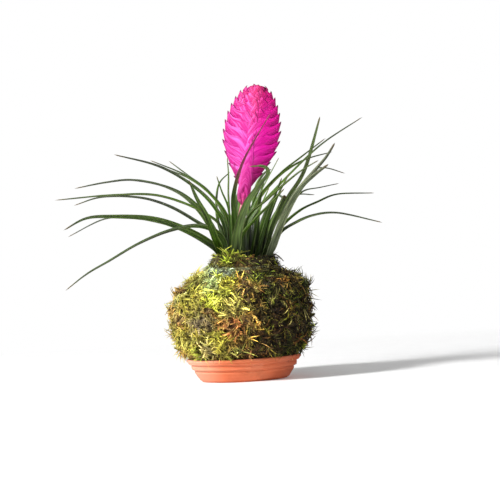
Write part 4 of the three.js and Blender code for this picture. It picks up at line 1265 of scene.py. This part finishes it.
def makeSpike():
    look = spikeLook
    skin, faces = Points("claw", "height", "rise", "aside"), []
    for number in range(1, look["perSide"] + 1):
        for side in (-1, 1):
            order = number - (0.5 if side > 0 else 0)
            tipBelow = look["spacing"] * order ** look["spread"]
            tipBelow -= look["raised"] * (1 - smooth(0, 4, order))
            addBract(skin, faces, side, tipBelow, spikeReach(tipBelow), order)
    for index, (side, tipBelow, tipReach) in enumerate(look["topBracts"]):
        addBract(skin, faces, side, tipBelow, tipReach, 0.3 + 0.1 * index, inTop=True)
    addBud(skin, faces)
    addRachis(skin, faces)
    spike = addMesh("flowerSpike", skin.verts, faces, bractMaterial(), skin.uvs, skin.values)
    place(spike, "flower_spike")


stalkLook = {"level": 113, "bend": (0, 0.8, 146), "radius": 2.5, "sides": 20}


def stalkMaterial():
    s = Shader("greenStalk")
    at = s.coordinates()
    lines = s.streaks(at, (1500, 1500, 40), 3, 0.6)
    level = s.within(s.axis(at, "Z"), 0.14, 0.178)
    base = s.ramp(lines, [(0.3, (86, 104, 50)), (0.7, (142, 150, 92))])
    base = s.mix(level, base, (196, 110, 130))
    return s.finish(base, 0.5, s.bump(lines, 0.4, 0.0004))


def makeStalk():
    look = stalkLook
    verts, faces = [], []
    foot = (mainShoot[0] + 0.5, 0.5, look["level"])
    top = tuple(spikeFoot - spikeAxis * 0.2)
    path = [Vector(p) * mm for p in splinePoints([foot, look["bend"], top], 16)]
    tube(verts, faces, path, look["radius"] * mm, look["sides"])
    stalk = addMesh("flowerStalk", verts, faces, stalkMaterial())
    place(outward(stalk), "flower_stalk")


makeSpike()
makeStalk()
print("spike and stalk")

# Soil and rootstock


def soilMaterial():
    s = Shader("dampSoil")
    at = s.coordinates()
    crumbs = s.noise(at, 420, 6, 0.7)
    base = s.ramp(crumbs, [(0.3, (24, 17, 11)), (0.55, (58, 43, 30)),
                           (0.75, (92, 72, 52))])
    return s.finish(base, 0.95, s.bump(crumbs, 0.9, 0.0015))


def rootstockMaterial():
    s = Shader("fibrousRoot")
    at = s.coordinates()
    fibres = s.streaks(at, (700, 700, 60), 4, 0.6)
    base = s.ramp(fibres, [(0.3, (38, 32, 16)), (0.7, (96, 84, 46))])
    return s.finish(base, 0.85, s.bump(fibres, 0.7, 0.001))


for node, material, slotName in (("soil_ball", soilMaterial(), "soil"),
                                 ("rootstock", rootstockMaterial(), "rootstock")):
    frame["nodes"][node].data.materials.clear()
    frame["nodes"][node].data.materials.append(material)
print("soil and rootstock")

# Floor, light and camera

stageLook = {"floor": 2.6, "cove": 0.6, "coveSteps": 12, "height": 3.4, "sides": 96}
lights = {
    "keyLight": {"spot": (-1.6, -1.05, 1.35), "aim": (0, 0, 0.13), "size": 0.5, "power": 80},
    "frontLight": {"spot": (-0.4, -2.2, 0.9), "aim": (0, 0, 0.12), "size": 1.2, "power": 6},
}
roomLight = 0.11
cameraLook = {"spot": (0.0122, -1.8, 0.1285), "lens": 129.6, "sensor": 36, "roll": 3.2}


def stageMaterial():
    s = Shader("paleSweep")
    at = s.coordinates()
    paper = s.noise(at, 40, 3, 0.5)
    s.finish(s.levels(paper, [(0.3, (0.86, 0.86, 0.86)), (0.7, (0.89, 0.89, 0.89))]), 0.9)
    glow = s.node("ShaderNodeEmission", {"Color": (1, 1, 1, 1), "Strength": 1.0})
    blend = s.node("ShaderNodeMixShader", {
        0: s.within(s.axis(at, "Y"), 0.12, 0.75), 1: s.surface.outputs[0], 2: glow.outputs[0]})
    s.tree.links.new(blend.outputs[0], s.tree.nodes["Material Output"].inputs["Surface"])
    return s.material


# A round floor that curves up to a wall all round.
def makeStage():
    look = stageLook
    profile = [(radius, 0.0) for radius in (0.1, 0.5, 1.0, 1.8, look["floor"])]
    for k in range(1, look["coveSteps"] + 1):
        angle = math.radians(90 * k / look["coveSteps"])
        profile.append((look["floor"] + look["cove"] * math.sin(angle),
                        look["cove"] * (1 - math.cos(angle))))
    profile.append((look["floor"] + look["cove"], look["height"]))
    verts = []
    for radius, level in profile:
        for angle in turns(look["sides"]):
            verts.append((radius * math.cos(angle), radius * math.sin(angle), level))
    faces = gridFaces(len(profile), look["sides"], True)
    faces.append(tuple(range(look["sides"]))[::-1])
    sweep = addMesh("paleSweep", verts, [face[::-1] for face in faces], stageMaterial())


def addLight(name, look):
    data = bpy.data.lights.new(name, "AREA")
    data.shape = "DISK"
    data.size = look["size"]
    data.energy = look["power"]
    lamp = bpy.data.objects.new(name, data)
    lamp.location = look["spot"]
    sight = Vector(look["aim"]) - Vector(look["spot"])
    lamp.rotation_euler = sight.to_track_quat("-Z", "Y").to_euler()
    bpy.context.scene.collection.objects.link(lamp)


def makeRoom():
    world = bpy.data.worlds.new("softRoom")
    world.use_nodes = True
    background = world.node_tree.nodes["Background"]
    background.inputs["Color"].default_value = (1, 1, 1, 1)
    background.inputs["Strength"].default_value = roomLight
    bpy.context.scene.world = world
    bpy.context.scene.view_settings.view_transform = "Standard"


# The camera looks along y, and its roll is the turn of the picture.
def makeCamera():
    look = cameraLook
    data = bpy.data.cameras.new("photoCamera")
    data.sensor_width = look["sensor"]
    data.lens = look["lens"]
    camera = bpy.data.objects.new("photoCamera", data)
    roll = math.radians(look["roll"])
    x, y, z = look["spot"]
    camera.matrix_world = Matrix((
        (math.cos(roll), math.sin(roll), 0, x),
        (0, 0, -1, y),
        (-math.sin(roll), math.cos(roll), 0, z),
        (0, 0, 0, 1),
    ))
    bpy.context.scene.collection.objects.link(camera)
    bpy.context.scene.camera = camera


makeStage()
for name, look in lights.items():
    addLight(name, look)
makeRoom()
makeCamera()
print("stage, light and camera")
